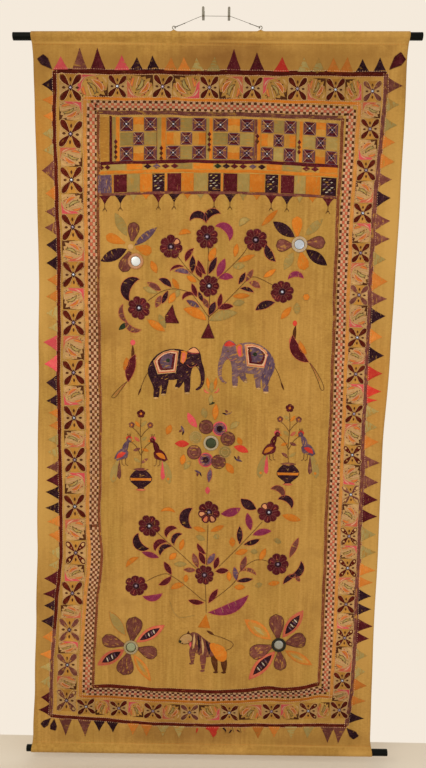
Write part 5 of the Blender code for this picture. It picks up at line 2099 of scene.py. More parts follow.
@dataclass
class TopPanel:
    """The nine-patch blocks, diamond strip, row of hangings and pendants at the top of the field."""

    dots: list[tuple[float, float, float]] = field(default_factory=list)
    work: Patchwork = field(default_factory=lambda: Patchwork("panel", 41))

    def top(self, x: float) -> float:
        """Z of the blocks' upper edge at x, in mm: level, then drooping to the right."""
        return -274.0 - (11.0 * ((x + 50.0) / 400.0) ** 2 if x > -50.0 else 0.0)

    def arch(self, x: float, middle: float, drop: float = 9.0) -> float:
        """Z at x of a line that is highest near the middle, in mm."""
        return middle - drop * ((x - 20.0) / 330.0) ** 2

    def foot(self, x: float) -> float:
        """Z of the blocks' lower edge at x, in mm."""
        return self.arch(x, -388.0, 12.0)

    def quad(self, left: float, right: float, upper: float, lower: float, inset: float = 0.8) -> np.ndarray:
        """A patch between two places across and two shares of the blocks' height, 0 at the top.

        Args:
            left: X of its left side, in mm.
            right: X of its right side.
            upper: The share at its top.
            lower: The share at its bottom.
            inset: How far its edges stay inside these lines, in mm.
        Returns:
            The corners.
        """
        corners = []
        for x, share in ((left, lower), (right, lower), (right, upper), (left, upper)):
            x_in = x + (inset if x == left else -inset)
            z = mix(self.top(x), self.foot(x), share)
            corners.append((x_in, z + (inset if share == lower else -inset)))
        return mm(corners)

    def build(self) -> None:
        """Sews the panel."""
        self.blocks()
        self.strips()
        self.lines()
        self.hangings()
        self.work.finish()

    def blocks(self) -> None:
        """Five blocks of nine squares."""
        for n, (left, right) in enumerate(((-271, -165), (-138, -24), (-4, 114), (134, 234), (254, 354))):
            across = [mix(left, right, share) for share in (0.0, 0.36, 0.655, 1.0)]
            upright = Dye.OLIVE if n % 2 else Dye.ORANGE
            level = Dye.ORANGE if n % 2 else Dye.OLIVE
            for row in range(3):
                for column in range(3):
                    shares = ((0.0, 0.325), (0.345, 0.65), (0.67, 1.0))[row]
                    cell = self.quad(across[column], across[column + 1], *shares)
                    if (row + column) % 2 == 0:
                        self.crossed(cell)
                    else:
                        self.plain(cell, level if row == 1 else upright, (row, column))

    def plain(self, cell: np.ndarray, dye: Dye, place: tuple[int, int]) -> None:
        """An olive square, or an ochre one with an orange half on its outer side.

        Args:
            cell: The square's corners.
            dye: The square's dye.
            place: Its place in its block.
        """
        if dye is Dye.OLIVE:
            self.work.sew(Dye.OLIVE, cell, lift=0.7 * MM)
            return
        self.work.sew(Dye.OCHRE, cell, run=0.5 * math.pi, lift=0.6 * MM)
        outer = {(0, 1): (3, 2), (2, 1): (0, 1), (1, 0): (0, 3), (1, 2): (1, 2)}[place]
        first, second = (cell[corner] for corner in outer)
        middle = cell.mean(axis=0)
        across = {(0, 1): (2, 3), (3, 2): (1, 0), (0, 3): (2, 1), (1, 2): (3, 0)}[outer]
        far_second, far_first = (cell[corner] for corner in across)
        inner = [mix(second, far_second, 0.55), middle, mix(first, far_first, 0.55)]
        self.work.sew(Dye.ORANGE, np.array([first, second, *inner]), level=0.8, lift=0.6 * MM)

    def crossed(self, cell: np.ndarray) -> None:
        """A dark square crossed by two threads, with a small mirror in a dark ring.

        Args:
            cell: The square's corners.
        """
        middle = cell.mean(axis=0)
        self.work.sew(Dye.MAROON, cell, lift=0.6 * MM, thread=Dye.MAUVE)
        for first, second in ((1, 2), (3, 0)):
            triangle = [mix(cell[first], middle, 0.12), mix(cell[second], middle, 0.12),
                        mix(middle, cell[first], 0.2), mix(middle, cell[second], 0.2)]
            self.work.sew(Dye.MAUVE, np.array(triangle)[[0, 1, 3, 2]], lift=0.6 * MM, level=0.8)
        for n in range(4):
            here, after = cell[n], cell[(n + 1) % 4]
            frame = np.array([here, after, mix(after, middle, 0.11), mix(here, middle, 0.11)])
            self.work.sew(Dye.LAVENDER, frame, lift=0.6 * MM, level=0.8)
        for start, end in ((0, 2), (1, 3)):
            line = np.array([mix(cell[start], middle, 0.05), middle, mix(cell[end], middle, 0.05)])
            self.work.couch(Dye.BLUSH, line, height=2.0 * MM)
        self.work.sew(Dye.LAVENDER, disc(middle, 9.6 * MM, 14), level=1.4, lift=0.6 * MM)
        self.work.sew(Dye.NAVY, disc(middle, 7.4 * MM, 12), level=2.0, lift=0.6 * MM)
        self.dots.append((middle[0] / MM, middle[1] / MM, 0.6))

    def strips(self) -> None:
        """The narrow strips between the blocks, with a column of diamonds on each."""
        plan = ((-294, -271, Dye.OLIVE, Dye.ORANGE, 4, 0.79), (-165, -138, Dye.OLIVE, Dye.ORANGE, 3, 0.87),
                (-24, -4, Dye.OLIVE, Dye.ORANGE, 4, 0.58), (114, 134, Dye.MAUVE, Dye.ORANGE, 2, 0.48),
                (234, 254, Dye.OLIVE, Dye.ORANGE, 3, 0.66))
        self.work.sew(Dye.TAN, self.quad(-329, -302, 0.0, 1.0, 1.2), run=0.0, lift=0.4 * MM)
        for left, right, first, second, count, middle in plan:
            half = mix(left, right, 0.48)
            self.work.sew(first, self.quad(left + 1, half, 0.0, 1.0, 0.6), run=0.5 * math.pi, lift=0.5 * MM)
            self.work.sew(second, self.quad(half, right - 1, 0.0, 1.0, 0.6), run=0.5 * math.pi, lift=0.5 * MM)
            for n in range(count):
                z = mix(self.top(half), -388.0, middle + 0.125 * (n - 0.5 * (count - 1)))
                self.diamond(half, z, 11.0, 14.5, Dye.BARK if n % 2 else Dye.MAROON)
            line = mm([(left, self.top(left) - 1), (left, self.foot(left))])
            self.work.couch(Dye.MAROON, line)

    def diamond(self, x: float, z: float, wide: float, tall: float, dye: Dye) -> None:
        """A diamond, in mm."""
        points = [(x, z + 0.5 * tall), (x - 0.5 * wide, z), (x, z - 0.5 * tall), (x + 0.5 * wide, z)]
        self.work.sew(dye, mm(points), level=1, lift=0.6 * MM)

    def lines(self) -> None:
        """The purple, diamond and orange bands under the blocks, and the line left of them."""
        shells = {Dye.MAUVE: Shell(), Dye.ORANGE: Shell(), Dye.MAROON: Shell()}
        places = np.linspace(-336.0, 357.0, 60)
        for middle, half, dye, seed in ((-394.0, 4.8, Dye.MAROON, 1.0), (-420.0, 4.2, Dye.ORANGE, 2.0),
                                        (-481.0, 4.2, Dye.MAUVE, 3.0)):
            line = wavering(mm([(x, self.arch(x, middle)) for x in places]), 0.8 * MM, seed)
            sew_strip(shells[dye], line, half, 0.9, 0.0, seed)
        upright = mm([(-298.0, z) for z in np.linspace(-272.0, -398.0, 15)])
        sew_strip(shells[Dye.MAROON], upright, 3.5, 0.8, 0.0, 4.0)
        lay_shells("panel_bands", shells)
        for start, end, dye in ((-301, -255, Dye.OLIVE), (-251, -206, Dye.ORANGE), (-108, -63, Dye.OLIVE),
                                (-59, -2, Dye.ORANGE), (152, 195, Dye.ORANGE), (198, 252, Dye.OLIVE),
                                (304, 356, Dye.ORANGE)):
            upper = [(x, self.arch(x, -399.0, 7.0)) for x in np.linspace(start, end, 5)]
            lower = [(x, self.arch(x, -414.5, 8.5)) for x in np.linspace(end, start, 5)]
            self.work.sew(dye, mm(upper + lower), lift=0.6 * MM)
        for x, dye in ((-325, Dye.MAROON), (-307, Dye.MAROON), (-191, Dye.NAVY), (-165, Dye.LAVENDER),
                       (-139, Dye.MAROON), (-113, Dye.MAROON), (11, Dye.BOTTLE), (36, Dye.NAVY),
                       (59, Dye.MAROON), (84, Dye.MAROON), (112, Dye.LAVENDER), (138, Dye.NAVY),
                       (266, Dye.MAROON), (291, Dye.MAROON)):
            self.diamond(x, self.arch(x, -406.5, 8.0), 23.0 if abs(x) < 300 else 17.0, 14.0, dye)

    def hangings(self) -> None:
        """A row of upright patches with a pendant under each."""
        row = ((-336, -295, Dye.LAVENDER), (-289, -251, Dye.MAROON), (-250, -214, Dye.OLIVE),
               (-213, -178, Dye.ORANGE), (-177, -142, Dye.NAVY), (-134, -94, Dye.MAROON),
               (-93, -58, Dye.ORANGE), (-57, -18, Dye.OLIVE), (-16, 20, Dye.NAVY), (28, 68, Dye.MAROON),
               (69, 103, Dye.OLIVE), (104, 147, Dye.ORANGE), (149, 186, Dye.NAVY), (194, 232, Dye.MAROON),
               (233, 265, Dye.OLIVE), (266, 307, Dye.ORANGE), (310, 354, Dye.NAVY))
        for n, (left, right, dye) in enumerate(row):
            upper = [(x, self.arch(x, -426.5)) for x in np.linspace(left, right, 4)]
            lower = [(x, self.arch(x, -477.0)) for x in np.linspace(right, left, 4)]
            self.work.sew(dye, mm(upper + lower), run=0.0 if dye is Dye.NAVY else 0.5 * math.pi)
            if dye in (Dye.NAVY, Dye.LAVENDER):
                self.mottle(left, right, n)
                if n + 1 < len(row):
                    after = row[n + 1][0] - 2
                    high, low = self.arch(right, -427.0), self.arch(right, -476.0)
                    sliver = [(right + 2, high), (right + 2, low), (after, low), (after, high)]
                    self.work.sew(Dye.ORANGE, mm(sliver), lift=0.5 * MM)
            self.pendant(0.5 * (left + right), dye)

    def mottle(self, left: float, right: float, seed: int) -> None:
        """Pale marks where a dark hanging's dye has come off, except on the first two hangings.

        Args:
            left: X of the hanging's left side, in mm.
            right: X of its right side.
            seed: Its number in the row.
        """
        if seed < 2:
            return
        chance = random.Random(seed)
        for row in range(6):
            z = -434.5 - 7.0 * row
            for x in np.arange(left + 4.0 + 7.5 * (row % 2), right - 12.0, 15.0):
                long = chance.uniform(7.0, 11.5)
                mark = leaf((x, self.arch(x, z)), (x + long, self.arch(x, z) + chance.uniform(1.5, 4.0)), 2.8)
                dye = chance.choice((Dye.SAGE, Dye.PEARL, Dye.LAVENDER))
                self.work.sew(dye, mm(mark), level=1.7, lift=0.3 * MM)

    def pendant(self, x: float, above: Dye) -> None:
        """A pointed pendant with a forked thread end.

        Args:
            x: X of its middle, in mm.
            above: The dye of the hanging that it is under.
        """
        looks = {Dye.NAVY: (Dye.MAROON, 17.0, 25.0), Dye.LAVENDER: (Dye.MAROON, 17.0, 25.0),
                 Dye.MAROON: (Dye.NAVY, 17.0, 25.0), Dye.ORANGE: (Dye.ORANGE, 12.0, 15.0),
                 Dye.OLIVE: (Dye.OLIVE, 11.0, 18.0)}
        dye, half, drop = looks[above]
        top = self.arch(x, -484.5)
        self.work.sew(dye, mm([(x - half, top), (x - 0.45 * half, top - 0.42 * drop), (x, top - drop),
                               (x + 0.45 * half, top - 0.42 * drop), (x + half, top)]))
        if dye in (Dye.MAROON, Dye.NAVY):
            end = top - drop
            self.work.couch(Dye.BARK, mm([(x, end + 2), (x, end - 15)]))
            fork = [(x - 6, end - 19), (x - 3, end - 12), (x, end - 9), (x + 3, end - 12), (x + 6, end - 19)]
            self.work.couch(Dye.BARK, mm(fork))


@dataclass
class FieldWork:
    """The sprays, mirror flowers, animals, birds and potted plants of the field."""

    work: Patchwork = field(default_factory=lambda: Patchwork("field", 51))
    dots: list[tuple[float, float, float]] = field(default_factory=list)

    def build(self) -> None:
        """Sews the field."""
        self.spray_upper()
        self.spray_lower()
        self.mirror_flowers()
        self.medallion()
        self.elephant(-188.0, -1079.0, 1.0, (Dye.NAVY, Dye.NAVY), (Dye.LAVENDER, Dye.SALMON, Dye.PEACH))
        self.elephant(190.0, -1057.0, -1.0, (Dye.SLATE, Dye.LAVENDER), (Dye.LAVENDER, Dye.PINK, Dye.RED))
        self.parrots()
        self.potted_plant(-208.0, -1364.0, 1.0)
        self.potted_plant(238.0, -1340.0, -1.0)
        self.striped_cat()
        self.work.finish()

    def blossom(self, x: float, z: float, radius: float, lobes: int, turn: float, faded: int = 0) -> None:
        """A round flower of overlapping petals and a small mirror; faded is how many lost their colour.

        Args:
            x: X of its middle, in mm.
            z: Z of its middle.
            radius: Its radius, in mm.
            lobes: How many petals it has.
            turn: How far it is turned.
            faded: How many petals are faded.
        """
        for n in range(lobes):
            angle = turn + TAU * n / lobes
            way = np.array([math.cos(angle), math.sin(angle)])
            reach = radius * (0.96 + 0.08 * ((n * 3) % 4) / 3.0)
            start, tip = (x, z) + way * radius * 0.22, (x, z) + way * reach
            shape = petal(mm(start), mm(tip), 1.18 * TAU * 0.64 * radius / lobes * MM, foot=0.42)
            self.work.sew(Dye.MAROON, shape, run=angle + 0.5 * math.pi, thread=Dye.MAUVE)
            if n < faded:
                inner_start, inner_tip = mm(mix(start, tip, 0.25)), mm(mix(start, tip, 0.88))
                small = petal(inner_start, inner_tip, 0.36 * radius * MM, foot=0.42)
                self.work.sew(Dye.SALMON if n % 2 else Dye.PEACH, small, run=angle, level=2, lift=0.3 * MM)
                continue
            inner = mm([(x, z) + way * radius * 0.46, (x, z) + way * radius * 0.78])
            self.work.couch(Dye.MAUVE if n % 3 else Dye.SALMON, inner, height=1.6 * MM)
        heart = disc(mm((x, z)), 0.32 * radius * MM, 14)
        self.work.sew(Dye.NAVY, heart, level=1, lift=0.7 * MM, thread=Dye.MAUVE)
        self.dots.append((x, z, 0.95))

    def stem(self, points: Any) -> None:
        """A thread stem through a few places in mm."""
        self.work.couch(Dye.BARK, rounded(mm(points), False, 3))

    def spray_upper(self) -> None:
        """The upper spray, on its small triangle."""
        for line in (
            [(-9, -838), (-35, -802), (-61, -770), (-89, -760), (-117, -757), (-151, -766), (-188, -792)],
            [(-9, -855), (-9, -838), (-7, -777)], [(-14, -719), (-12, -633)],
            [(-32, -737), (-67, -705), (-104, -661)], [(16, -728), (80, -664), (102, -634)],
            [(-9, -838), (35, -798), (81, -750), (105, -726), (128, -719), (176, -741)],
        ):
            self.stem(line)
        blossoms = ((-9, -747), (-17, -606), (-122, -636), (-215, -814), (125, -613), (206, -761))
        for n, (x, z) in enumerate(blossoms):
            self.blossom(x, z, 34.0 if n else 31.0, 8 if n % 2 else 7, 0.35 * n, 1 if n == 2 else 0)
        sew_leaves(self.work, UPPER_LEAVES)
        self.work.sew(Dye.MAROON, mm([(-9, -855), (-31, -900), (9, -900)]), thread=Dye.BARK)
        self.work.sew(Dye.MAROON, mm([(-116, -803), (-137, -836), (-137, -856), (-96, -857), (-108, -834)]),
                      run=0.0, thread=Dye.BARK)
        self.work.sew(Dye.ORANGE, disc(mm((277, -775)), 11.0 * MM, 6), thread=Dye.OLIVE)

    def spray_lower(self) -> None:
        """The lower spray."""
        for line in (
            [(-19, -1705), (-69, -1663), (-112, -1632), (-131, -1625), (-161, -1634), (-190, -1650)],
            [(-37, -1607), (-81, -1565), (-117, -1532), (-161, -1491)],
            [(-4, -1748), (-5, -1714), (-8, -1658)], [(-5, -1594), (-2, -1467)],
            [(33, -1599), (97, -1531), (163, -1455)],
            [(3, -1717), (50, -1679), (85, -1644), (102, -1607), (148, -1575), (190, -1580)],
            [(-5, -1712), (-19, -1705)],
        ):
            self.stem(line)
        blossoms = ((-11, -1627), (0, -1428), (-182, -1474), (-222, -1665), (183, -1424), (215, -1588))
        for n, (x, z) in enumerate(blossoms):
            self.blossom(x, z, 34.5 if n else 31.0, 7 if n % 2 else 8, 3.4 if n == 1 else 0.5 * n + 0.2,
                         3 if n == 1 else 1 if n == 4 else 0)
        sew_leaves(self.work, LOWER_LEAVES)
        self.work.sew(Dye.ORANGE, mm([(-4, -1752), (-30, -1797), (10, -1799)]))
        for n in range(3):
            x = 40.0 + 20.0 * n
            bar = [(x, -1718.0 + 9.0 * n), (x + 9.0, -1746.0 + 14.0 * n)]
            self.work.couch(Dye.ECRU, mm(bar), height=1.5 * MM)
        tendril = [(-118, -1712), (-104, -1750), (-82, -1766), (-40, -1758)]
        self.work.couch(Dye.OLIVE, rounded(mm(tendril), False))

    def mirror_flowers(self) -> None:
        """The four flowers round the corner mirrors: petals and leaves given from the hub, in mm."""
        hubs = [(x / MM, z / MM) for x, z in SHAPE.mirrors]
        plans = (
            ((-239.0, -638.0), (
                (Dye.MAUVE, 3, 17, 10, 71, 33, "petal"), (Dye.MAUVE, -3, -14, -25, -72, 36, "petal"),
                (Dye.LAVENDER, 10, 4, 76, 57, 22, "leaf"), (Dye.NAVY, -12, -6, -90, -42, 33, "leaf"),
                (Dye.ORANGE, -17, 10, -74, 31, 28, "petal"), (Dye.ORANGE, 14, 0, 61, -14, 30, "petal"),
                (Dye.OLIVE, -12, 31, -47, 97, 28, "leaf"))),
            (hubs[1], (
                (Dye.ORANGE, -7, 22, -9, 80, 31, "petal"), (Dye.ORANGE, 5, -22, 17, -73, 34, "petal"),
                (Dye.MAUVE, -20, -2, -68, -4, 36, "petal"), (Dye.MAUVE, 20, 5, 75, 7, 36, "petal"),
                (Dye.NAVY, -14, 20, -79, 64, 31, "leaf"), (Dye.NAVY, 19, -14, 83, -59, 31, "leaf"),
                (Dye.OLIVE, 16, 26, 66, 74, 25, "leaf"), (Dye.OLIVE, -17, -23, -43, -73, 25, "leaf"))),
            (hubs[3], (
                (Dye.MAUVE, 3, 22, 14, 100, 50, "petal"), (Dye.MAUVE, -8, -22, -24, -92, 53, "petal"),
                (Dye.MAUVE, -22, 7, -91, 26, 43, "petal"), (Dye.MAUVE, 23, -4, 82, -23, 43, "petal"),
                (Dye.SALMON, 17, 17, 105, 74, 34, "edged"), (Dye.SALMON, -22, -9, -105, -61, 38, "edged"),
                (Dye.OLIVE, -17, 38, -68, 116, 30, "faded"), (Dye.AMBER, 8, -24, 63, -112, 30, "outlined"))),
            (hubs[4], (
                (Dye.MAUVE, -3, 22, -12, 100, 46, "petal"), (Dye.MAUVE, 2, -22, 8, -84, 39, "petal"),
                (Dye.MAUVE, -22, -5, -90, -35, 48, "petal"), (Dye.MAUVE, 23, 6, 84, 22, 49, "petal"),
                (Dye.SALMON, 12, 25, 73, 113, 38, "edged"), (Dye.SALMON, -12, -22, -91, -115, 40, "edged"),
                (Dye.AMBER, -24, 17, -109, 82, 43, "outlined"),
                (Dye.AMBER, 20, -18, 107, -65, 32, "outlined"))),
        )
        self.work.sew(Dye.ECRU, disc(mm((-240.0, -638.0)), 8.5 * MM, 12), level=0.3)
        for hub, parts in plans:
            for dye, x, z, tip_x, tip_z, width, kind in parts:
                start, tip = mm((hub[0] + x, hub[1] + z)), mm((hub[0] + tip_x, hub[1] + tip_z))
                run = math.atan2(tip_z - z, tip_x - x)
                if kind == "petal":
                    edge = Dye.BARK if dye in (Dye.MAUVE, Dye.MAROON) else None
                    self.work.sew(dye, petal(start, tip, width * MM), run=run, thread=edge)
                    continue
                edge = {"edged": Dye.PINK, "faded": Dye.ORANGE}.get(kind)
                self.work.sew(dye, leaf(start, tip, width * MM), run=run + 0.5 * math.pi, thread=edge)
                if kind == "edged":
                    small = mix(start, tip, 0.11), mix(start, tip, 0.84)
                    self.work.sew(Dye.NAVY, leaf(*small, 0.66 * width * MM), run=run + 0.5 * math.pi, level=1)
                    self.pale_marks(*small, 0.42 * width)
                elif kind == "outlined":
                    ground = leaf(mix(start, tip, 0.1), mix(start, tip, 0.88), 0.68 * width * MM)
                    heart = 0.3 * width * MM
                    self.work.sew(Dye.OCHRE, ground, run=run, level=1.3, lift=0.4 * MM)
                    heart = leaf(mix(start, tip, 0.2), mix(start, tip, 0.66), heart)
                    self.work.sew(Dye.SAGE, heart, run=run, level=2.4, lift=0.3 * MM)

    def pale_marks(self, start: np.ndarray, tip: np.ndarray, size: float) -> None:
        """Four worn cross marks on a dark leaf.

        Args:
            start: The leaf's foot.
            tip: The leaf's tip.
            size: The marks' length, in mm.
        """
        way = (tip - start) / np.linalg.norm(tip - start)
        side = np.array([-way[1], way[0]]) * 0.5 * size * MM
        for share, dye in ((0.3, Dye.LAVENDER), (0.44, Dye.PEARL), (0.58, Dye.LAVENDER), (0.68, Dye.PEARL)):
            middle = mix(start, tip, share)
            bar = leaf(middle - side, middle + side + 0.2 * size * MM * way, 4.2 * MM)
            self.work.sew(dye, bar, level=2.7, lift=0.3 * MM)

    def medallion(self) -> None:
        """Eight round petals about the middle mirror, with leaves and small birds round them."""
        rounds = ((-12, -1165, Dye.MAUVE), (29, -1170, Dye.NAVY), (54, -1200, Dye.MAUVE),
                  (46, -1240, Dye.OLIVE), (27, -1271, Dye.MAUVE), (-12, -1266, Dye.NAVY),
                  (-47, -1243, Dye.MAUVE), (-43, -1197, Dye.OLIVE))
        for x, z, dye in rounds:
            if dye is Dye.NAVY:
                self.work.sew(Dye.PINK, disc(mm((x, z)), 22.5 * MM, 20), lift=0.8 * MM)
                self.work.sew(Dye.LAVENDER, disc(mm((x, z)), 19.0 * MM, 18), level=0.8)
                self.work.couch(Dye.PINK, disc(mm((x, z)), 15.5 * MM, 16), True, height=2.0 * MM)
                self.work.sew(Dye.NAVY, disc(mm((x, z)), 10.0 * MM, 14), level=1.6)
            else:
                edge = Dye.BARK if dye is Dye.MAUVE else Dye.ECRU
                radius = 21.5 if dye is Dye.MAUVE else 18.5
                self.work.sew(dye, disc(mm((x, z)), radius * MM, 20), thread=edge)
                self.work.couch(edge, disc(mm((x, z)), 11.0 * MM, 14), True, height=1.5 * MM)
        sew_leaves(self.work, (
            (Dye.PINK, -38, -1168, -68, -1122, 20, 0.05), (Dye.RED, -62, -1218, -106, -1217, 20, 0.0),
            (Dye.ORANGE, 14, -1144, 17, -1095, 17, 0.0), (Dye.OLIVE, -14, -1138, -22, -1108, 17, 0.0),
            (Dye.RED, 72, -1224, 117, -1240, 20, 0.05), (Dye.ORANGE, 50, -1275, 73, -1306, 20, 0.0),
            (Dye.LAVENDER, 3, -1290, -2, -1336, 14, 0.0), (Dye.OLIVE, 62, -1170, 88, -1150, 16, 0.1),
            (Dye.ORANGE, -78, -1250, -84, -1282, 16, 0.0), (Dye.ORANGE, -118, -1160, -130, -1190, 17, 0.0),
            (Dye.OLIVE, -60, -1270, -76, -1296, 15, 0.0), (Dye.ORANGE, 84, -1195, 96, -1218, 14, 0.0),
            (Dye.PINK, -5, -1348, -5, -1372, 14, 0.0), (Dye.OLIVE, 0, -1095, 2, -1068, 12, 0.0)))
        for x, z, turn in ((54, -1125, 0.3), (-81, -1173, 1.9), (86, -1266, -0.4), (-34, -1302, 2.6)):
            shapes = (leaf((-11, 0), (13, 3), 7.0), leaf((0, 2), (-5, 15), 7.5), leaf((-4, 0), (-17, 8), 5.0))
            for shape, dye in zip(shapes, (Dye.LAVENDER, Dye.MAUVE, Dye.NAVY)):
                self.work.sew(dye, mm(turned(shape, turn) + (x, z)), lift=0.7 * MM)
        sew_leaves(self.work, (
            (Dye.SALMON, -3, -1062, -20, -1048, 12, 0.32), (Dye.SALMON, 9, -1062, 24, -1046, 12, -0.32),
            (Dye.OLIVE, 3, -1060, 3, -1030, 14, 0.0), (Dye.ORANGE, -5, -1052, -11, -1016, 9, 0.0),
            (Dye.ORANGE, 11, -1052, 17, -1016, 9, 0.0), (Dye.BOTTLE, -4, -1098, 14, -1092, 7, 0.1)))

    def elephant(self, x: float, z: float, hand: float, hide: tuple[Dye, Dye],
                 dress: tuple[Dye, Dye, Dye]) -> None:
        """A walking elephant in a saddle cloth.

        Args:
            x: X of its rump, in mm.
            z: Z of its feet, in mm.
            hand: 1 if it faces right, -1 if it faces left.
            hide: The dyes of its body and its rump.
            dress: The dyes of its saddle cloth's panel, its cape and its cap.
        """
        place = motif(x, z, hand, 0.985)
        body = [(17, 2), (18, 24), (12, 44), (2, 66), (0, 86), (8, 108), (26, 130), (50, 144), (78, 149),
                (104, 146), (116, 141), (124, 150), (138, 155), (150, 147), (157, 132), (160, 112), (167, 92),
                (170, 66), (167, 44), (157, 29), (146, 24), (143, 28), (154, 37), (158, 52), (156, 74),
                (149, 91), (140, 97), (132, 90), (128, 72), (127, 48), (125, 19), (110, 18), (109, 40),
                (102, 57), (76, 55), (52, 53), (42, 44), (36, 26), (33, 2)]
        sew = self.work.sew
        for leg in ([(42, 50), (42, 24), (40, 13), (54, 13), (57, 28), (62, 54)],
                    [(88, 56), (86, 46), (81, 35), (93, 31), (103, 43), (108, 57)]):
            sew(hide[0], place(rounded(leg, True, 3)), run=0.3)
        sew(hide[0], place(rounded(body, True, 2)), run=0.4, level=0, lift=1.3 * MM)
        if hide[1] is not hide[0]:
            rump = [(18, 3), (19, 24), (13, 44), (4, 66), (2, 86), (9, 106), (22, 124), (32, 100), (34, 70),
                    (40, 46), (35, 27), (32, 3)]
            sew(hide[1], place(rounded(rump, True, 2)), run=1.2, level=1)
        for toe_x, toe_z, wide in ((25, -1, 17), (118, 15, 17), (47, 10, 14), (86, 30, 13)):
            sew(Dye.ECRU, place(leaf((toe_x - 0.5 * wide, toe_z), (toe_x + 0.5 * wide, toe_z), 7.0)), level=1)
        saddle = [(16, 110), (29, 71), (84, 77), (92, 143), (70, 146), (46, 139), (28, 126)]
        panel = [(34, 110), (42, 87), (70, 90), (76, 133), (60, 136), (43, 128)]
        middle = np.array((57.0, 112.0))
        for share, dye, level in ((1.0, Dye.ECRU, 1.2), (0.93, Dye.SALMON, 1.5), (0.85, Dye.BLUSH, 1.8),
                                  (0.74, Dye.MAROON, 2.1)):
            ring = (np.array(saddle, float) - middle) * share + middle
            sew(dye, place(spaced_line(ring, 9.0, True)), level=level, lift=0.8 * MM)
        sew(dress[0], place(spaced_line(panel, 9.0, True)), level=2.5, lift=0.7 * MM)
        sew(Dye.BOTTLE, place(disc((60, 114), 6.5, 10)), level=3.3, lift=0.5 * MM)
        cape = [(97, 143), (95, 105), (108, 101), (116, 120), (118, 138), (108, 144)]
        sew(Dye.ORANGE, place(cape), level=1, lift=0.8 * MM)
        inner_cape = [(101, 138), (99, 109), (107, 106), (112, 121), (113, 135), (107, 139)]
        sew(dress[1], place(inner_cape), level=1.4, lift=0.8 * MM)
        cap = [(119, 142), (128, 149), (138, 153), (148, 146), (151, 138), (134, 137)]
        sew(dress[2], place(rounded(cap, True, 3)), level=1)
        brim = [(116, 141), (134, 135), (153, 138)]
        self.work.couch(Dye.PINK, place(rounded(brim, False)), height=2.1 * MM)
        self.work.couch(Dye.SALMON, place(rounded([(116, 102), (126, 94), (137, 96), (146, 104)], False)),
                        height=1.8 * MM)
        sew(Dye.ECRU, place(leaf((133, 124), (146, 119), 8.0)), level=1, lift=0.6 * MM)
        sew(Dye.NAVY, place(disc((140, 121), 2.4, 8)), level=2, lift=0.4 * MM)
        sew(Dye.ECRU, place(leaf((147, 99), (159, 90), 5.5, -0.1)), level=1, lift=0.6 * MM)
        self.work.couch(Dye.BARK, place(rounded([(5, 84), (-9, 60), (-19, 34), (-26, 14)], False)))
        sew(Dye.BARK, place(leaf((-19, 32), (-29, 6), 5.5)))

    def parrots(self) -> None:
        """A bird at each side, hanging from its beak, with a long looped tail."""
        sew = self.work.sew
        sew(Dye.PINK, disc(mm((-233, -916)), 7.5 * MM, 12, 1.15))
        sew(Dye.RED, disc(mm((246, -852)), 6.5 * MM, 12, 1.3))
        sew_leaves(self.work, (
            (Dye.BARK, -234, -922, -235, -972, 9, 0.03), (Dye.MAROON, -225, -950, -247, -1034, 27, -0.05),
            (Dye.ORANGE, -252, -960, -260, -998, 16, 0.1), (Dye.ECRU, -236, -968, -218, -962, 8, 0.1),
            (Dye.BARK, 249, -858, 247, -906, 10, -0.05), (Dye.MAROON, 240, -886, 291, -966, 30, -0.16),
            (Dye.ORANGE, 262, -904, 284, -942, 15, -0.1), (Dye.SALMON, 236, -892, 234, -916, 9, 0.0)))
        for loop in (
            [(-249, -1031), (-266, -1044), (-289, -1068), (-297, -1080), (-286, -1080), (-270, -1060),
             (-251, -1033)],
            [(293, -968), (305, -990), (320, -1022), (330, -1048), (339, -1046), (331, -1022), (312, -990),
             (294, -968)],
        ):
            self.work.couch(Dye.BARK, rounded(mm(loop), False, 3))
            pairs = zip(loop[:3], loop[:3:-1])
            between = [0.5 * (np.array(one) + np.array(other)) for one, other in pairs]
            self.work.couch(Dye.SALMON, rounded(mm(between), False, 3))

    def potted_plant(self, x: float, z: float, hand: float) -> None:
        """A flowering plant in a banded vase between two long-tailed birds.

        Args:
            x: X of the vase's middle, in mm.
            z: Z of its foot, in mm.
            hand: 1, or -1 for the mirror image.
        """
        place = motif(x, z, hand)
        sew = self.work.sew
        couch = self.work.couch
        vase = [(-13, 2), (-9, 9), (-30, 26), (-34, 42), (-22, 58), (-12, 64), (12, 64), (22, 58), (34, 42),
                (30, 26), (9, 9), (13, 2)]
        sew(Dye.NAVY, place(rounded(vase, True, 2)), run=0.0)
        sew(Dye.ORANGE, place([(-31, 31), (31, 31), (33, 40), (-33, 40)]), level=1, lift=0.6 * MM)
        sew(Dye.MAUVE, place(leaf((-24, 66), (24, 66), 9.0)), level=1)
        sew(Dye.SALMON, place(leaf((-16, 3), (16, 3), 7.0)), level=1)
        sew(Dye.ECRU, place(disc((0, 49), 4.0, 8)), level=1, lift=0.5 * MM)
        couch(Dye.BARK, place(rounded([(0, 70), (2, 120), (-2, 175), (0, 222)], False, 4)))
        for side in (-1.0, 1.0):
            couch(Dye.BARK, place(rounded([(0, 110), (side * 14, 136), (side * 32, 152)], False, 3)))
            couch(Dye.BARK, place(rounded([(0, 165), (side * 12, 182), (side * 25, 194)], False, 3)))
        leaves = ((Dye.MAUVE, 2, 84, 22, 100), (Dye.OLIVE, -1, 88, -22, 102),
                  (Dye.ORANGE, 3, 128, 24, 122), (Dye.MAUVE, -2, 132, -24, 124),
                  (Dye.OLIVE, 1, 152, 18, 166), (Dye.SALMON, -3, 152, -19, 166),
                  (Dye.ORANGE, -1, 196, -17, 214), (Dye.OLIVE, 1, 196, 17, 214))
        for dye, start_x, start_z, tip_x, tip_z in leaves:
            way = math.atan2(tip_z - start_z, hand * (tip_x - start_x))
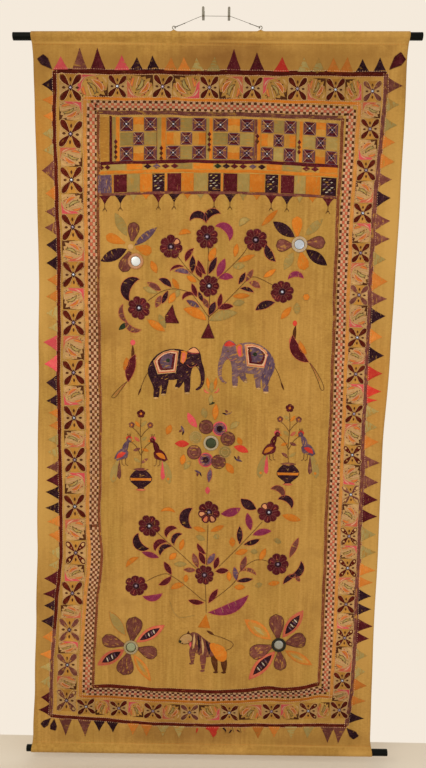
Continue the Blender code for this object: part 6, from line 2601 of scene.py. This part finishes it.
            sew(dye, place(leaf((start_x, start_z), (tip_x, tip_z), 10.0, 0.06)), run=way + 0.5 * math.pi)
        for bud_x, bud_z, dye in ((0, 236, Dye.MAROON), (36, 160, Dye.PINK), (-36, 160, Dye.RED),
                                  (28, 202, Dye.MAUVE), (-28, 202, Dye.MAUVE)):
            size = 13.0 if bud_x == 0 else 9.5
            for n in range(5):
                angle = TAU * (n + 0.25) / 5.0
                way = np.array([math.cos(angle), math.sin(angle)])
                start, tip = (bud_x, bud_z) + way * 0.2 * size, (bud_x, bud_z) + way * size
                sew(dye, place(petal(start, tip, 0.9 * size, foot=0.5, steps=6)), run=hand * angle)
            sew(Dye.ORANGE, place(disc((bud_x, bud_z), 0.32 * size, 8)), level=1, lift=0.6 * MM)
        dyes = ((Dye.LAVENDER, Dye.RED, Dye.OLIVE, Dye.MAUVE), (Dye.MAROON, Dye.ORANGE, Dye.OLIVE, Dye.PINK))
        for side, (body, wing, tail, tip) in zip((1.0, -1.0), dyes):
            self.long_tailed_bird(x - hand * side * 62.0, z + 96.0, hand * side, body, wing, tail, tip)

    def long_tailed_bird(self, x: float, z: float, hand: float, body: Dye, wing: Dye, tail: Dye,
                         tip: Dye) -> None:
        """A standing bird that faces right if hand is 1, its tail hanging down behind it.

        Args:
            x: X of its feet, in mm.
            z: Z of its feet.
            hand: 1, or -1 if it faces left.
            body: The dye of its body.
            wing: The dye of its wing.
            tail: The dye of its tail.
            tip: The dye of its tail's end.
        """
        place = motif(x, z, hand)
        sew = self.work.sew
        sew(tail, place(petal((-2, 6), (-24, -74), 22.0, -0.06)), run=1.3)
        sew(tip, place(petal((-4, 4), (-3, -62), 15.0, -0.04)), run=1.5, lift=0.8 * MM)
        sew(Dye.ORANGE, place(disc((-21, -58), 5.0, 9)), level=1, lift=0.5 * MM)
        sew(body, place(petal((-14, -2), (24, 22), 32.0, 0.1, foot=0.4)), run=0.5, level=1)
        sew(body, place(leaf((14, 12), (27, 60), 17.0, 0.12)), run=1.3, level=1)
        sew(wing, place(leaf((-12, 2), (17, 20), 15.0, 0.1)), run=0.5, level=2)
        sew(body, place(disc((27, 60), 7.5, 12)), level=2)
        sew(Dye.ORANGE, place([(33, 63), (43, 57), (33, 55)]), level=1, lift=0.6 * MM)
        sew(Dye.ECRU, place(disc((28, 61), 2.2, 8)), level=3, lift=0.4 * MM)
        for n in range(3):
            self.work.couch(Dye.BARK, place([(25 + 2 * n, 66), (21 + 5 * n, 79)]))
        for foot in (4, 15):
            self.work.couch(Dye.BARK, place([(foot, 2), (foot + 1, -16), (foot + 8, -19)]))

    def striped_cat(self) -> None:
        """A striped cat walking to the left, its tail over its back."""
        place = motif(-92.0, -1944.0)
        sew = self.work.sew
        for foot_x, foot_z, top_x, top_z, dye in ((47, 28, 46, 86, Dye.MAUVE), (81, 5, 80, 66, Dye.MAUVE),
                                                  (123, 1, 112, 60, Dye.BARK), (148, 1, 145, 52, Dye.BARK)):
            sew(dye, place(petal((foot_x, foot_z), (top_x, top_z), 20.0, foot=0.35)), run=0.2)
            sew(dye, place(leaf((foot_x - 11, foot_z), (foot_x + 6, foot_z + 1), 7.5)), run=1.2)
        body = [(30, 116), (44, 130), (62, 128), (82, 112), (102, 98), (120, 84), (126, 64), (112, 54),
                (92, 50), (74, 54), (60, 62), (48, 74), (38, 86), (30, 98)]
        rump = [(103, 97), (126, 95), (146, 85), (155, 66), (152, 44), (138, 37), (122, 46), (112, 62),
                (102, 80)]
        head = [(5, 106), (14, 119), (28, 126), (42, 123), (46, 108), (36, 97), (18, 93), (7, 98)]
        sew(Dye.MAUVE, place(rounded(body, True, 2)), run=1.3)
        sew(Dye.ORANGE, place(rounded(rump, True, 2)), run=0.5, level=1)
        stripes = ((51, 129, 47, 74, 8, Dye.ECRU), (62, 127, 66, 62, 9, Dye.NAVY),
                   (74, 117, 79, 56, 8, Dye.ECRU), (87, 108, 101, 56, 10, Dye.NAVY),
                   (36, 112, 40, 80, 8, Dye.PINK))
        for x, z, tip_x, tip_z, wide, dye in stripes:
            sew(dye, place(leaf((x, z), (tip_x, tip_z), wide, 0.05)), run=0.1, level=1, lift=0.7 * MM)
        sew(Dye.ECRU, place(rounded(head, True, 2)), level=2, thread=Dye.BARK)
        for x, z, size, dye in ((8, 101, 5, Dye.BOTTLE), (22, 110, 3.4, Dye.NAVY), (35, 104, 4.0, Dye.SALMON),
                                (16, 96, 2.6, Dye.BARK), (38, 114, 4.0, Dye.PINK)):
            sew(dye, place(disc((x, z), size, 9)), level=3, lift=0.4 * MM)
        sew(Dye.BARK, place([(27, 124), (34, 136), (39, 124)]), level=1)
        tail = [(153, 76), (168, 84), (174, 98), (160, 108), (134, 118), (112, 124)]
        self.work.couch(Dye.BARK, place(rounded(tail, False, 3)))
        sew(Dye.BARK, place(leaf((114, 124), (90, 138), 9.0)))


def padded_ring(name: str, centre: tuple[float, float, float], middle: float, half: float, deep: float,
                around: int, turns: int) -> bpy.types.Object:
    """A ring that lies on the cloth.

    Args:
        name: The object's name.
        centre: X, Y of its own middle and Z.
        middle: The radius of its middle line.
        half: Half its width.
        deep: Half its depth.
        around: Its sides round the mirror.
        turns: Its sides round its own section.
    Returns:
        The object.
    """
    bm = bmesh.new()
    rows = []
    for angle in circle(around):
        row = []
        for turn in circle(turns):
            reach = middle + half * math.cos(turn)
            row.append(bm.verts.new((centre[0] + reach * math.cos(angle), centre[1] - deep * math.sin(turn),
                                     centre[2] + reach * math.sin(angle))))
        rows.append(row)
    for here, after in zip(rows, rows[1:] + rows[:1]):
        for side in range(turns):
            last = (side + 1) % turns
            bm.faces.new((here[side], here[last], after[last], after[side]))
    bmesh.ops.recalc_face_normals(bm, faces=bm.faces)
    mesh = bpy.data.meshes.new(name)
    bm.to_mesh(mesh)
    bm.free()
    return link(name, mesh)


def seam_stitches() -> None:
    """The running stitches that close the two rod pockets."""
    lines = []
    for rod, way in ((Side.TOP, -1.0), (Side.BOTTOM, 1.0)):
        down = SHAPE.seam if rod is Side.TOP else SHAPE.top_height - SHAPE.bottom_height - SHAPE.seam
        left, right = SHAPE.side_edges(down)
        places = np.linspace(float(left) + 6.0 * MM, float(right) - 6.0 * MM, 120)
        heights = SHAPE.rod_height(rod, places) + way * (SHAPE.seam + 1.5 * MM)
        lines.append((np.column_stack([places, heights]), False))
    running_stitch("pocket_stitches", lines, 8.0, Dye.ORANGE, 4.4, 0.45)


def small_mirrors(rows: list[tuple[float, float, float]]) -> None:
    """Small round mirrors with a thread ring, given as X and Z in mm and size; 1 is 8 mm across.

    Args:
        rows: The mirrors.
    """
    chance = random.Random(77)
    glass = Patchwork("dot", 1)
    glass.turn_in = 1.0 * MM
    glass.outline_step = 9.0 * MM
    glass.sew(Dye.ECRU, disc((0.0, 0.0), 4.0 * MM, 14), lift=0.8 * MM)
    places = [(x * MM, z * MM, chance.uniform(0.0, TAU), size, size) for x, z, size in rows]
    bright = [row for n, row in enumerate(places) if n % 5 in (0, 3)]
    dull = [row for n, row in enumerate(places) if n % 5 not in (0, 3)]
    clouded = SilveredGlass("clouded", "9C8FA0", "5E5163", 0.32)
    height = 1.7 * MM
    for name, some, finish in (("bright", bright, LARGE_MIRRORS[1].glass), ("dull", dull, clouded)):
        dot = glass.template(Dye.ECRU)
        copy_to_points(dot, "small_mirrors_" + name, some, finish, 5, height=height)
    ring = padded_ring("ring_template", (0.0, -0.4 * MM, 0.0), 4.5 * MM, 0.8 * MM, 0.8 * MM, 14, 6)
    copy_to_points(ring, "small_mirror_rings", places, TwistedThread(Dye.LAVENDER), 5, height=height)


# The pieces that the model has as solids


class GroundCloth:
    """The one length of mustard cotton, with a pocket turned over round each rod."""

    columns = 132
    rows = 210
    pocket_steps = 26

    def places_across(self) -> np.ndarray:
        """Places across the cloth from 0 to 1, closer together at the two screw eyes."""
        left, right = SHAPE.side_edges(0.0)
        close = [(eye + step * 0.2 * SHAPE.eye_bump_reach - left) / (right - left)
                 for eye in SHAPE.eyes for step in range(-6, 7)]
        return np.unique(np.round(np.concatenate([np.linspace(0.0, 1.0, self.columns + 1), close]), 5))

    def pocket_row(self, rod: Side, out: float, up: float, places: np.ndarray) -> np.ndarray:
        """One row of the pocket round a rod.

        Args:
            rod: Which rod.
            out: How far in front of the rod's axis the row is.
            up: How far from the axis towards the hanging's end.
            places: Places across the cloth from 0 to 1.
        Returns:
            The row's places.
        """
        flip = 1.0 if rod is Side.TOP else -1.0
        axis = SHAPE.top_height if rod is Side.TOP else SHAPE.bottom_height
        left, right = SHAPE.side_edges(SHAPE.top_height - axis - flip * up)
        x = mix(left, right, places)
        lift = np.zeros(len(places))
        if rod is Side.TOP and up > 0.0:
            for eye in SHAPE.eyes:
                lift += SHAPE.eye_bump * hump(x - eye, SHAPE.eye_bump_reach) * up / SHAPE.rod_radius
        z = SHAPE.rod_height(rod, x) + flip * up + lift
        return np.stack([x, np.full(len(x), -SHAPE.rod_out - out), z], 1)

    def sheet_row(self, share: float, places: np.ndarray) -> np.ndarray:
        """One row between the seams.

        Args:
            share: How far down it is, from 0 to 1.
            places: Places across the cloth from 0 to 1.
        Returns:
            The row's places.
        """
        top = SHAPE.top_height - SHAPE.seam
        bottom = SHAPE.bottom_height + SHAPE.seam
        left, right = SHAPE.side_edges(SHAPE.top_height - mix(top, bottom, share))
        x = mix(left, right, places)
        upper = SHAPE.rod_height(Side.TOP, x) - SHAPE.seam
        lower = SHAPE.rod_height(Side.BOTTOM, x) + SHAPE.seam
        z = mix(upper, lower, share)
        return np.stack([x, SHAPE.sheet_y(x, z), z], 1)

    def build(self) -> bpy.types.Object:
        """The cloth as a closed sheet of its real thickness.

        Returns:
            The cloth.
        """
        places = self.places_across()
        profile = SHAPE.pocket_profile(self.pocket_steps)
        rows = [self.pocket_row(Side.TOP, out, up, places) for out, up in profile]
        rows += [self.sheet_row(row / self.rows, places) for row in range(1, self.rows)]
        rows += [self.pocket_row(Side.BOTTOM, out, up, places) for out, up in profile[::-1]]
        wide = len(places)
        faces = [(row * wide + n, (row + 1) * wide + n, (row + 1) * wide + n + 1, row * wide + n + 1)
                 for row in range(len(rows) - 1) for n in range(wide - 1)]
        mesh = bpy.data.meshes.new("ground_cloth")
        mesh.from_pydata(np.concatenate(rows).tolist(), [], faces)
        cloth = link("ground_cloth_flat", mesh)
        thick = cloth.modifiers.new("Thickness", "SOLIDIFY")
        thick.thickness = SHAPE.thickness
        thick.offset = 0.0
        thick.use_even_offset = True
        cloth = plain_mesh(cloth, "ground_cloth")
        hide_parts("cloth")
        return finish_piece(cloth, MustardCotton())


def tube(name: str, points: np.ndarray, radius: float, sides: int) -> bpy.types.Object:
    """A round wire along a line, with closed ends and a UV map in metres.

    Args:
        name: The object's name.
        points: (n, 3) places.
        radius: The wire's radius.
        sides: The number of sides.
    Returns:
        The object.
    """
    along = unit(np.gradient(points, axis=0))
    run = run_along(points)
    across = np.cross(along[0], (0.0, 1.0, 0.3))
    places = []
    for point, way in zip(points, along):
        across = across - way * (across @ way)
        across /= np.linalg.norm(across)
        other = np.cross(way, across)
        places += [point + radius * (math.cos(a) * across + math.sin(a) * other) for a in circle(sides)]
    corners = []
    for start, end in zip(run, run[1:]):
        for side in range(sides):
            low, high = TAU * radius * side / sides, TAU * radius * (side + 1) / sides
            corners += [(start, low), (start, high), (end, high), (end, low)]
    corners += [(0.0, 0.0)] * (2 * sides)
    last = (len(points) - 1) * sides
    faces = grid_faces(len(points), sides) + [tuple(range(sides))[::-1], tuple(range(last, last + sides))]
    mesh = bpy.data.meshes.new(name)
    mesh.from_pydata(places, [], faces)
    sewn = mesh.uv_layers.new(name="sewn")
    sewn.data.foreach_set("uv", np.array(corners, np.float32).ravel())
    obj = link(name, mesh)
    outward_normals(obj)
    return obj


@dataclass
class HangingWire:
    """The picture wire: round the left eye, over both hooks and round the right eye, on the solid's route."""

    radius: float = 0.6 * MM
    eye_above: float = 23.2 * MM
    eye_ring: float = 4.2 * MM
    seat: float = 0.95 * MM
    turn: float = 2.6 * MM
    lay: float = 1.55 * MM
    step: float = 2.0 * MM
    hook_x: float = 36.3 * MM
    hook_width: float = 7.0 * MM

    def eye_turn(self, hand: float) -> list[np.ndarray]:
        """The wire's points at one eye (hand 1 for the left one), from its tail's end out along the pull.

        Args:
            hand: Which eye.
        Returns:
            The points.
        """
        x = SHAPE.eyes[0] if hand > 0.0 else SHAPE.eyes[1]
        centre = np.array((x, -SHAPE.rod_out, SHAPE.rod_height(Side.TOP, x) + self.eye_above))
        edge = np.array((-hand * (self.hook_x + 0.5 * self.hook_width), -SHAPE.rod_out, self.seat))
        pull = (edge - centre) / np.linalg.norm(edge - centre)
        tail = [(30.0 * MM, self.lay), (20.0 * MM, self.lay), (13.0 * MM, self.lay + 0.1 * MM),
                (6.0 * MM, 2.3 * MM)]
        turn = [(self.turn * math.cos(angle), self.turn * math.sin(angle))
                for angle in np.radians((90, 120, 150, 180, 210, 240, 270))]
        lead = [(6.0 * MM, -1.7 * MM), (12.0 * MM, -0.5 * MM), (19.0 * MM, 0.0)]
        return [centre + pull * (self.eye_ring + along) + (0.0, out, 0.0)
                for along, out in tail + turn + lead]

    def route(self) -> np.ndarray:
        """The wire's centreline.

        Returns:
            Its points.
        """
        over = [np.array((side * self.hook_x + edge * self.hook_width, -SHAPE.rod_out, self.seat))
                for side in (-1.0, 1.0) for edge in (-0.5, 0.0, 0.5)]
        points = self.eye_turn(1.0) + over + self.eye_turn(-1.0)[::-1]
        ends = [points[0] * 2.0 - points[1]] + points + [points[-1] * 2.0 - points[-2]]
        found = []
        for before, start, end, after in zip(ends, ends[1:], ends[2:], ends[3:]):
            span = float(np.linalg.norm(end - start))
            first, last = 0.5 * (end - before), 0.5 * (after - start)
            first *= min(1.0, span / np.linalg.norm(first))
            last *= min(1.0, span / np.linalg.norm(last))
            parts = max(1, round(span / self.step))
            found += [hermite(start, end, first, last, part / parts) for part in range(parts)]
        return np.array(found + [points[-1]])

    def wrap(self, hand: float) -> bpy.types.Object:
        """The tail's end twisted round the wire at one eye: three close turns.

        Args:
            hand: Which eye.
        Returns:
            The wrap.
        """
        points = self.eye_turn(hand)
        start, end = mix(points[0], points[1], 0.05), mix(points[0], points[1], 0.42)
        middle = np.array((0.0, -0.5 * self.lay, 0.0))
        along = (end - start) / np.linalg.norm(end - start)
        other = np.cross(along, (0.0, 1.0, 0.0))
        other /= np.linalg.norm(other)
        line = []
        for t in np.linspace(0.0, 1.0, 43):
            angle = TAU * 3.0 * t
            line.append(mix(start, end, t) + middle + 1.7 * MM * math.cos(angle) * np.array((0.0, 1.0, 0.0))
                        + 1.0 * MM * math.sin(angle) * other)
        name = "wire_wrap_left" if hand > 0.0 else "wire_wrap_right"
        return finish_piece(tube(name, np.array(line), 0.45 * MM, 8), WIRE_STEEL)

    def build(self) -> bpy.types.Object:
        """The wire and its wraps.

        Returns:
            The wire.
        """
        route = self.route()
        wire = tube("hanging_wire_braided", route, self.radius, 10)
        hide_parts("hanging_wire")
        finish_piece(wire, WIRE_STEEL)
        wraps = [self.wrap(1.0), self.wrap(-1.0)]
        return wire


WIRE_STEEL = ZincSteel("braided_picture_wire", "6E6A5C", "3A372E", 1.8)
HOOK_STEEL = ZincSteel("zinc_plated_steel", "9C9A90", "6E6C62")


@dataclass(frozen=True)
class LargeMirror:
    """A round mirror held by a ring of close stitches."""

    number: int
    glass: SilveredGlass
    thread: Dye
    second: Dye
    # The dye of a dark ring at the glass's edge, if there is one: painted shadow of the gap between glass and
    # ring
    edge: Dye | None = None
    sides: int = 40

    def build(self) -> None:
        """The glass, the padded ring and the ring's stitches, in the solids' places."""
        x, z = SHAPE.mirrors[self.number - 1]
        front = float(SHAPE.front(np.asarray(x), np.asarray(z))) - SHAPE.gap
        chance = random.Random(self.number)
        waves = [(n, chance.uniform(0.0, TAU), chance.uniform(0.002, 0.008)) for n in (2, 3, 5)]
        profile = ((0.0, 0.0), (0.97, 0.0), (1.0, 0.25), (0.985, 0.8), (0.93, 1.05), (0.6, 1.35), (0.3, 1.5),
                   (0.0, 1.55))
        places: list[tuple[float, float, float]] = [(x, front, z)]
        for share, height in profile[1:-1]:
            for angle in circle(self.sides):
                stray = sum(size * (math.cos(n * angle + way) - 1.0) for n, way, size in waves)
                reach = 14.5 * MM * share * (1.0 + stray)
                places.append((x + reach * math.cos(angle), front - height * MM, z + reach * math.sin(angle)))
        places.append((x, front - profile[-1][1] * MM, z))
        rings = len(profile) - 2
        faces: list[tuple[int, ...]] = []
        for side in range(self.sides):
            after = (side + 1) % self.sides
            faces.append((0, 1 + after, 1 + side))
            for ring in range(rings - 1):
                low, high = 1 + ring * self.sides, 1 + (ring + 1) * self.sides
                faces.append((low + side, low + after, high + after, high + side))
            top = 1 + (rings - 1) * self.sides
            faces.append((top + side, top + after, len(places) - 1))
        mesh = bpy.data.meshes.new(f"large_mirror_{self.number}")
        mesh.from_pydata(places, [], faces)
        glass = link(mesh.name, mesh)
        outward_normals(glass)
        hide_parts(f"mirror_{self.number}")
        finish_piece(glass, self.glass)
        self.ring(x, z, front)

    def ring(self, x: float, z: float, front: float) -> None:
        """The padded ring under its buttonhole stitches, and, where an edge dye is given, a dark ring at the
        glass's edge as painted shadow.

        Args:
            x: X of its middle.
            z: Z of its middle.
            front: Y of the cloth's front there, less its gap.
        """
        inner, outer, deep = 14.9 * MM, 22.6 * MM, 1.75 * MM
        middle, half = 0.5 * (inner + outer), 0.5 * (outer - inner)
        pad = padded_ring(f"mirror_ring_pad_{self.number}", (x, front - deep, z), middle, half, deep, 48, 12)
        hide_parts(f"mirror_ring_{self.number}")
        finish_piece(pad, TwistedThread(self.thread))
        # A dark thread ring at the glass's edge: painted shadow of the gap between glass and ring
        if self.edge:
            shadow_ring = padded_ring(f"mirror_edge_{self.number}", (x, front - deep - 0.9 * MM, z),
                               inner + 0.6 * MM, 0.85 * MM, 0.8 * MM, 40, 6)
            finish_piece(shadow_ring, TwistedThread(self.edge))
        for place, dye in enumerate((self.thread, self.second)):
            line = disc((x, z), middle, 96)
            name = f"mirror_ring_stitches_{self.number}_{dye.name.lower()}"
            piece = ROWS.run(lines_object(name, [(line, True)]), name, TwistedThread(dye), {
                "Copy": self.radial_stitch(half), "Pitch": 1.45 * MM, "Every": 2, "First": place,
                "Turn unevenness": 0.07, "Size unevenness": 0.05, "Seed": self.number})
            places = read_places(piece.data)
            places[:, 1] += front - deep
            write_places(piece.data, places)
            finish_piece(piece)

    def radial_stitch(self, half: float) -> bpy.types.Object:
        """One stitch across the ring, bent over its pad.

        Args:
            half: Half the ring's width.
        Returns:
            The stitch.
        """
        stitch = stitch_template(1.0, 0.55 * MM)
        places = read_places(stitch.data)
        share = places[:, 0].copy() * 2.0
        low = np.array([0.55 * MM * (0.2 + 1.1 * math.sin(math.pi * (s + 1.0) / 2.0)) for s in share])
        round_over = 1.75 * MM * np.sqrt(np.clip(1.0 - (0.92 * share) ** 2, 0.0, 1.0))
        across = places[:, 2].copy()
        places[:, 1] = places[:, 1] + low - round_over
        places[:, 0] = across * 1.25
        places[:, 2] = -share * half * 1.02
        write_places(stitch.data, places)
        outward_normals(stitch)
        return stitch


# Mirrors 3 and 4 have a dark bottle-green ring at the glass's edge: painted shadow
LARGE_MIRRORS = (
    LargeMirror(1, SilveredGlass("pale", "DCE4E8", "B4BAB6", 0.3), Dye.ORANGE, Dye.PEARL),
    LargeMirror(2, SilveredGlass("silver", "BAC4D2", "949CA4", 0.25), Dye.PEARL, Dye.ECRU),
    LargeMirror(3, SilveredGlass("bottle", "464F38", "2A2E22", 0.14), Dye.PEARL, Dye.OLIVE, Dye.BOTTLE),
    LargeMirror(4, SilveredGlass("tarnished", "A6B294", "78826A", 0.22), Dye.OLIVE, Dye.PEARL, Dye.BOTTLE),
    LargeMirror(5, SilveredGlass("grey", "A8AEAA", "7C8078", 0.22), Dye.BOTTLE, Dye.NAVY),
)


def dress_nodes(names: Iterable[str], finish: Any) -> None:
    """Gives kept solids a better material in their own slots."""
    for name in names:
        for slot in frame["nodes"][name].material_slots:
            slot.material = BASKET.get(finish)


def place_camera() -> None:
    """The camera at the photograph's angle; depth of field is off."""
    data = bpy.data.cameras.new("photo_camera")
    data.sensor_width = 36.0
    data.lens = 37.5
    data.shift_y = 46.0 / 768.0
    data.clip_start = 0.05
    data.clip_end = 60.0
    camera = link("photo_camera", data)
    camera.location = (0.0327, -2.4185, -0.8436)
    camera.rotation_euler = Euler([math.radians(angle) for angle in (82.1153, -0.8553, 0.6910)])
    bpy.context.scene.camera = camera


def light_studio() -> None:
    """A soft key from the upper left, a weak fill from the right, a pale room and a plain pale floor."""
    lamps = (("key", (-1.7, -2.7, 0.7), 1.6, 36.0, "FFF4E4"),
             ("fill", (2.0, -2.6, -1.5), 2.2, 20.0, "F6F4FF"))
    for name, place, size, power, colour in lamps:
        data = bpy.data.lights.new(name, "AREA")
        data.size = size
        data.energy = power
        data.color = linear(colour)[:3]
        lamp = link(name, data)
        lamp.location = place
        lamp.rotation_euler = (Vector((0.0, -0.03, -1.1)) - Vector(place)).to_track_quat("-Z", "Y").to_euler()
    world = bpy.data.worlds.new("pale_room")
    world.use_nodes = True
    ground = world.node_tree.nodes["Background"]
    ground.inputs["Color"].default_value = linear("F6EBDC")
    ground.inputs["Strength"].default_value = 0.99
    bpy.context.scene.world = world
    bpy.context.scene.view_settings.view_transform = "Standard"
    corners = ((-8.0, -6.0), (8.0, -6.0), (8.0, 0.12), (-8.0, 0.12))
    floor = bpy.data.meshes.new("floor")
    floor.from_pydata([(x, y, -2.25) for x, y in corners], [], [(0, 1, 2, 3)])
    floor.materials.append(Finish("pale_matt_floor").done({"Base Color": linear("D6CFC2"), "Roughness": 0.9}))
    link("floor", floor)


def main() -> None:
    """Makes every piece, the camera and the light."""
    logging.basicConfig(level=logging.INFO, format="%(name)s %(message)s")
    HangingWire().build()
    place_camera()
    cloth = GroundCloth().build()
    border = Border()
    border.build()
    panel = TopPanel()
    panel.build()
    sewn_field = FieldWork()
    sewn_field.build()
    small_mirrors(border.dots + panel.dots + sewn_field.dots)
    seam_stitches()
    for mirror in LARGE_MIRRORS:
        mirror.build()
    dress_nodes(("top_rod", "bottom_rod"), PaintedPine())
    dress_nodes(("screw_eye_left", "screw_eye_right", "wall_hook_left", "wall_hook_right"), HOOK_STEEL)
    light_studio()


if __name__ == "__main__":
    main()
